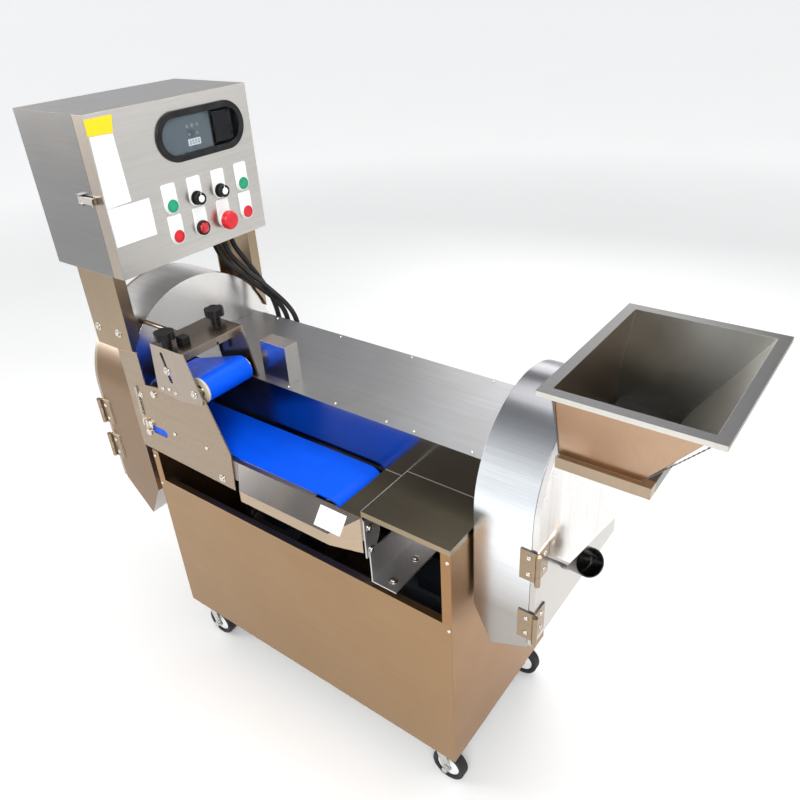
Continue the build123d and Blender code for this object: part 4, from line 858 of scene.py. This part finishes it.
# Bare film where the photograph has printed labels
FILM = 0.0003
TROUGH_RUN, TROUGH_DROP, RAIL_TOP = 31, 38, 650
door_films = {
    "label_yellow": ((26, 1243), (78, 1241), (84, 1272), (26, 1272)),
    "label_strip": ((27, 1112), (82, 1114), (77, 1240), (29, 1242)),
    "label_lower": ((28, 1037), (122, 1037), (122, 1110), (27, 1111)),
}
for film_name, film_corners in door_films.items():

    def door_film(mesh):
        outline = [(y / 1000, z / 1000) for y, z in film_corners]
        prism(mesh, outline, Vector((DOOR_FACE_X, CABINET_FRONT, 0)), Y, Z, FILM)

    piece(film_name, door_film, "yellow_film" if film_name == "label_yellow" else "label_film",
          "control_door", smooth=False)


def trough_film(mesh):
    prism(mesh, ((0.522, -0.044), (0.584, -0.044), (0.584, -0.006), (0.522, -0.006)),
          at(0, 0, RAIL_TOP), X, (0, TROUGH_RUN, TROUGH_DROP), FILM)


piece("label_trough", trough_film, "label_film", "machine", smooth=False)


# Castors: white hub caps and axle nuts
for corner in corners:
    low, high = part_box("castor_wheel_" + corner)
    hub_mid = (low + high) / 2
    half_width = (high.y - low.y) / 2

    def hub_caps(mesh):
        for side in (-1, 1):
            lathe(mesh, ((0.0062, 0.0032), (0.0125, 0.0032), (0.0145, 0.0006), (0.0240, 0.0002),
                         (0.0258, -0.0006), (0.0262, -0.0046), (0.0062, -0.0046), (0.0062, 0.0032)),
                  hub_mid + Y * side * half_width * 0.72, Y * side, 36)

    def axle_nuts(mesh):
        fork_low, fork_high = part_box("castor_fork_" + corner)
        for side, y in ((-1, fork_low.y), (1, fork_high.y)):
            place = Vector((hub_mid.x, y - side * 0.003, hub_mid.z))
            lathe(mesh, ((0, 0.0036), (0.0062, 0.0036), (0.0072, 0.0028), (0.0072, -0.0002)),
                  place, Y * side, 6)

    piece("castor_hub_" + corner, hub_caps, "white_plastic", "castor_wheel_" + corner)
    piece("castor_nut_" + corner, axle_nuts, "zinc", "castor_fork_" + corner)


# Weld beads down the corners of the hopper
def hopper_welds(mesh):
    door_x = 922.5
    lower = ((door_x + 7.4, 98.4), (door_x + 132.6, 98.4), (door_x + 132.6, 300.6),
             (door_x + 7.4, 300.6))
    upper = ((944.4, 30.4), (1151.6, 30.4), (1151.6, 317.6), (944.4, 317.6))
    for (x0, y0), (x1, y1) in zip(lower, upper):
        a, b = at(x0, y0, 851), at(x1, y1, 987)
        steps = 44
        for i in range(steps):
            place = a.lerp(b, i / steps)
            swell = 0.0010 + 0.0003 * sin(i * 2.4)
            lathe(mesh, ((0, 0), (swell, 0.0004), (swell * 1.1, 0.0018), (0, 0.0034)),
                  place, b - a, 8)


piece("hopper_welds", hopper_welds, "tube_steel", "right_door")

# Floor, world and lights
FLOOR_HALF = 250.0
floor_data = bpy.data.meshes.new("floor")
floor_data.from_pydata([(-FLOOR_HALF, -FLOOR_HALF, 0), (FLOOR_HALF, -FLOOR_HALF, 0),
                        (FLOOR_HALF, FLOOR_HALF, 0), (-FLOOR_HALF, FLOOR_HALF, 0)],
                       [], [(0, 1, 2, 3)])
floor = bpy.data.objects.new("floor", floor_data)
bpy.context.scene.collection.objects.link(floor)
floor_material, floor_tree, floor_shader = blank("floor_pale", (0.90, 0.90, 0.895), roughness=0.6)
floor_cloud = noise(floor_tree, object_coords(floor_tree), 1.2, 2.0)
floor_tree.links.new(ramp(floor_tree, floor_cloud, ((0.3, (0.885, 0.885, 0.88)),
                                                    (0.7, (0.91, 0.91, 0.905)))),
                     floor_shader.inputs["Base Color"])
floor_shader.inputs["Emission Color"].default_value = (1, 1, 1, 1)
# The floor stays pale far from the lights
distance = add_node(floor_tree, "ShaderNodeVectorMath", operation="LENGTH")
floor_tree.links.new(object_coords(floor_tree), distance.inputs[0])
floor_tree.links.new(spread(floor_tree, distance.outputs["Value"], 0.0, 0.4, 1.8, 5.5),
                     floor_shader.inputs["Emission Strength"])
floor_data.materials.append(floor_material)

# Studio sky: bright at the horizon, dimmer above and behind the machine
world = bpy.data.worlds.new("studio")
bpy.context.scene.world = world
world.use_nodes = True
sky = world.node_tree
background = sky.nodes["Background"]
background.inputs["Strength"].default_value = 1.1
direction = add_node(sky, "ShaderNodeTexCoord").outputs["Generated"]
parts = add_node(sky, "ShaderNodeSeparateXYZ")
sky.links.new(direction, parts.inputs["Vector"])
height = spread(sky, parts.outputs["Z"], 0.0, 1.0, -0.2, 1.0)
band = ramp(sky, height, ((0.0, (0.60, 0.57, 0.54)), (0.17, (0.80, 0.80, 0.80)),
                          (0.46, (0.82, 0.82, 0.82)), (0.72, (0.66, 0.67, 0.69)),
                          (1.0, (0.36, 0.37, 0.38))))
behind = spread(sky, parts.outputs["Y"], 0.0, 1.0, 0.05, 0.55)
dimmed = blend_colours(sky, 1.0, band, (0.40, 0.40, 0.41), "MULTIPLY")
horizon = spread(sky, parts.outputs["Z"], 0.0, 1.0, 0.22, 0.02)
sky.links.new(blend_colours(sky, horizon, blend_colours(sky, behind, band, dimmed),
                            (0.88, 0.88, 0.885)), background.inputs["Color"])


def soft_light(name, place, target, size, power, colour=(1, 1, 1)):
    """Area light at place, turned to target."""
    data = bpy.data.lights.new(name, "AREA")
    data.shape = "RECTANGLE"
    data.size, data.size_y = size
    data.energy = power
    data.color = colour
    light = bpy.data.objects.new(name, data)
    light.location = place
    light.rotation_euler = (Vector(target) - Vector(place)).to_track_quat("-Z", "Y").to_euler()
    bpy.context.scene.collection.objects.link(light)


soft_light("key", (1.6, -2.2, 2.6), (0, 0, 0.6), (1.6, 1.2), 76)
soft_light("fill", (-2.4, -1.6, 1.8), (0, 0, 0.6), (1.4, 1.4), 26, (1.0, 0.98, 0.95))
soft_light("top", (0.2, 0.6, 3.0), (0, 0, 0.7), (2.2, 1.4), 36)
soft_light("back", (-0.6, 2.6, 1.8), (0, 0, 0.8), (1.6, 1.2), 20)
soft_light("right_floor", (1.5, 1.3, 1.5), (1.1, 1.0, 0.0), (1.0, 1.0), 8)
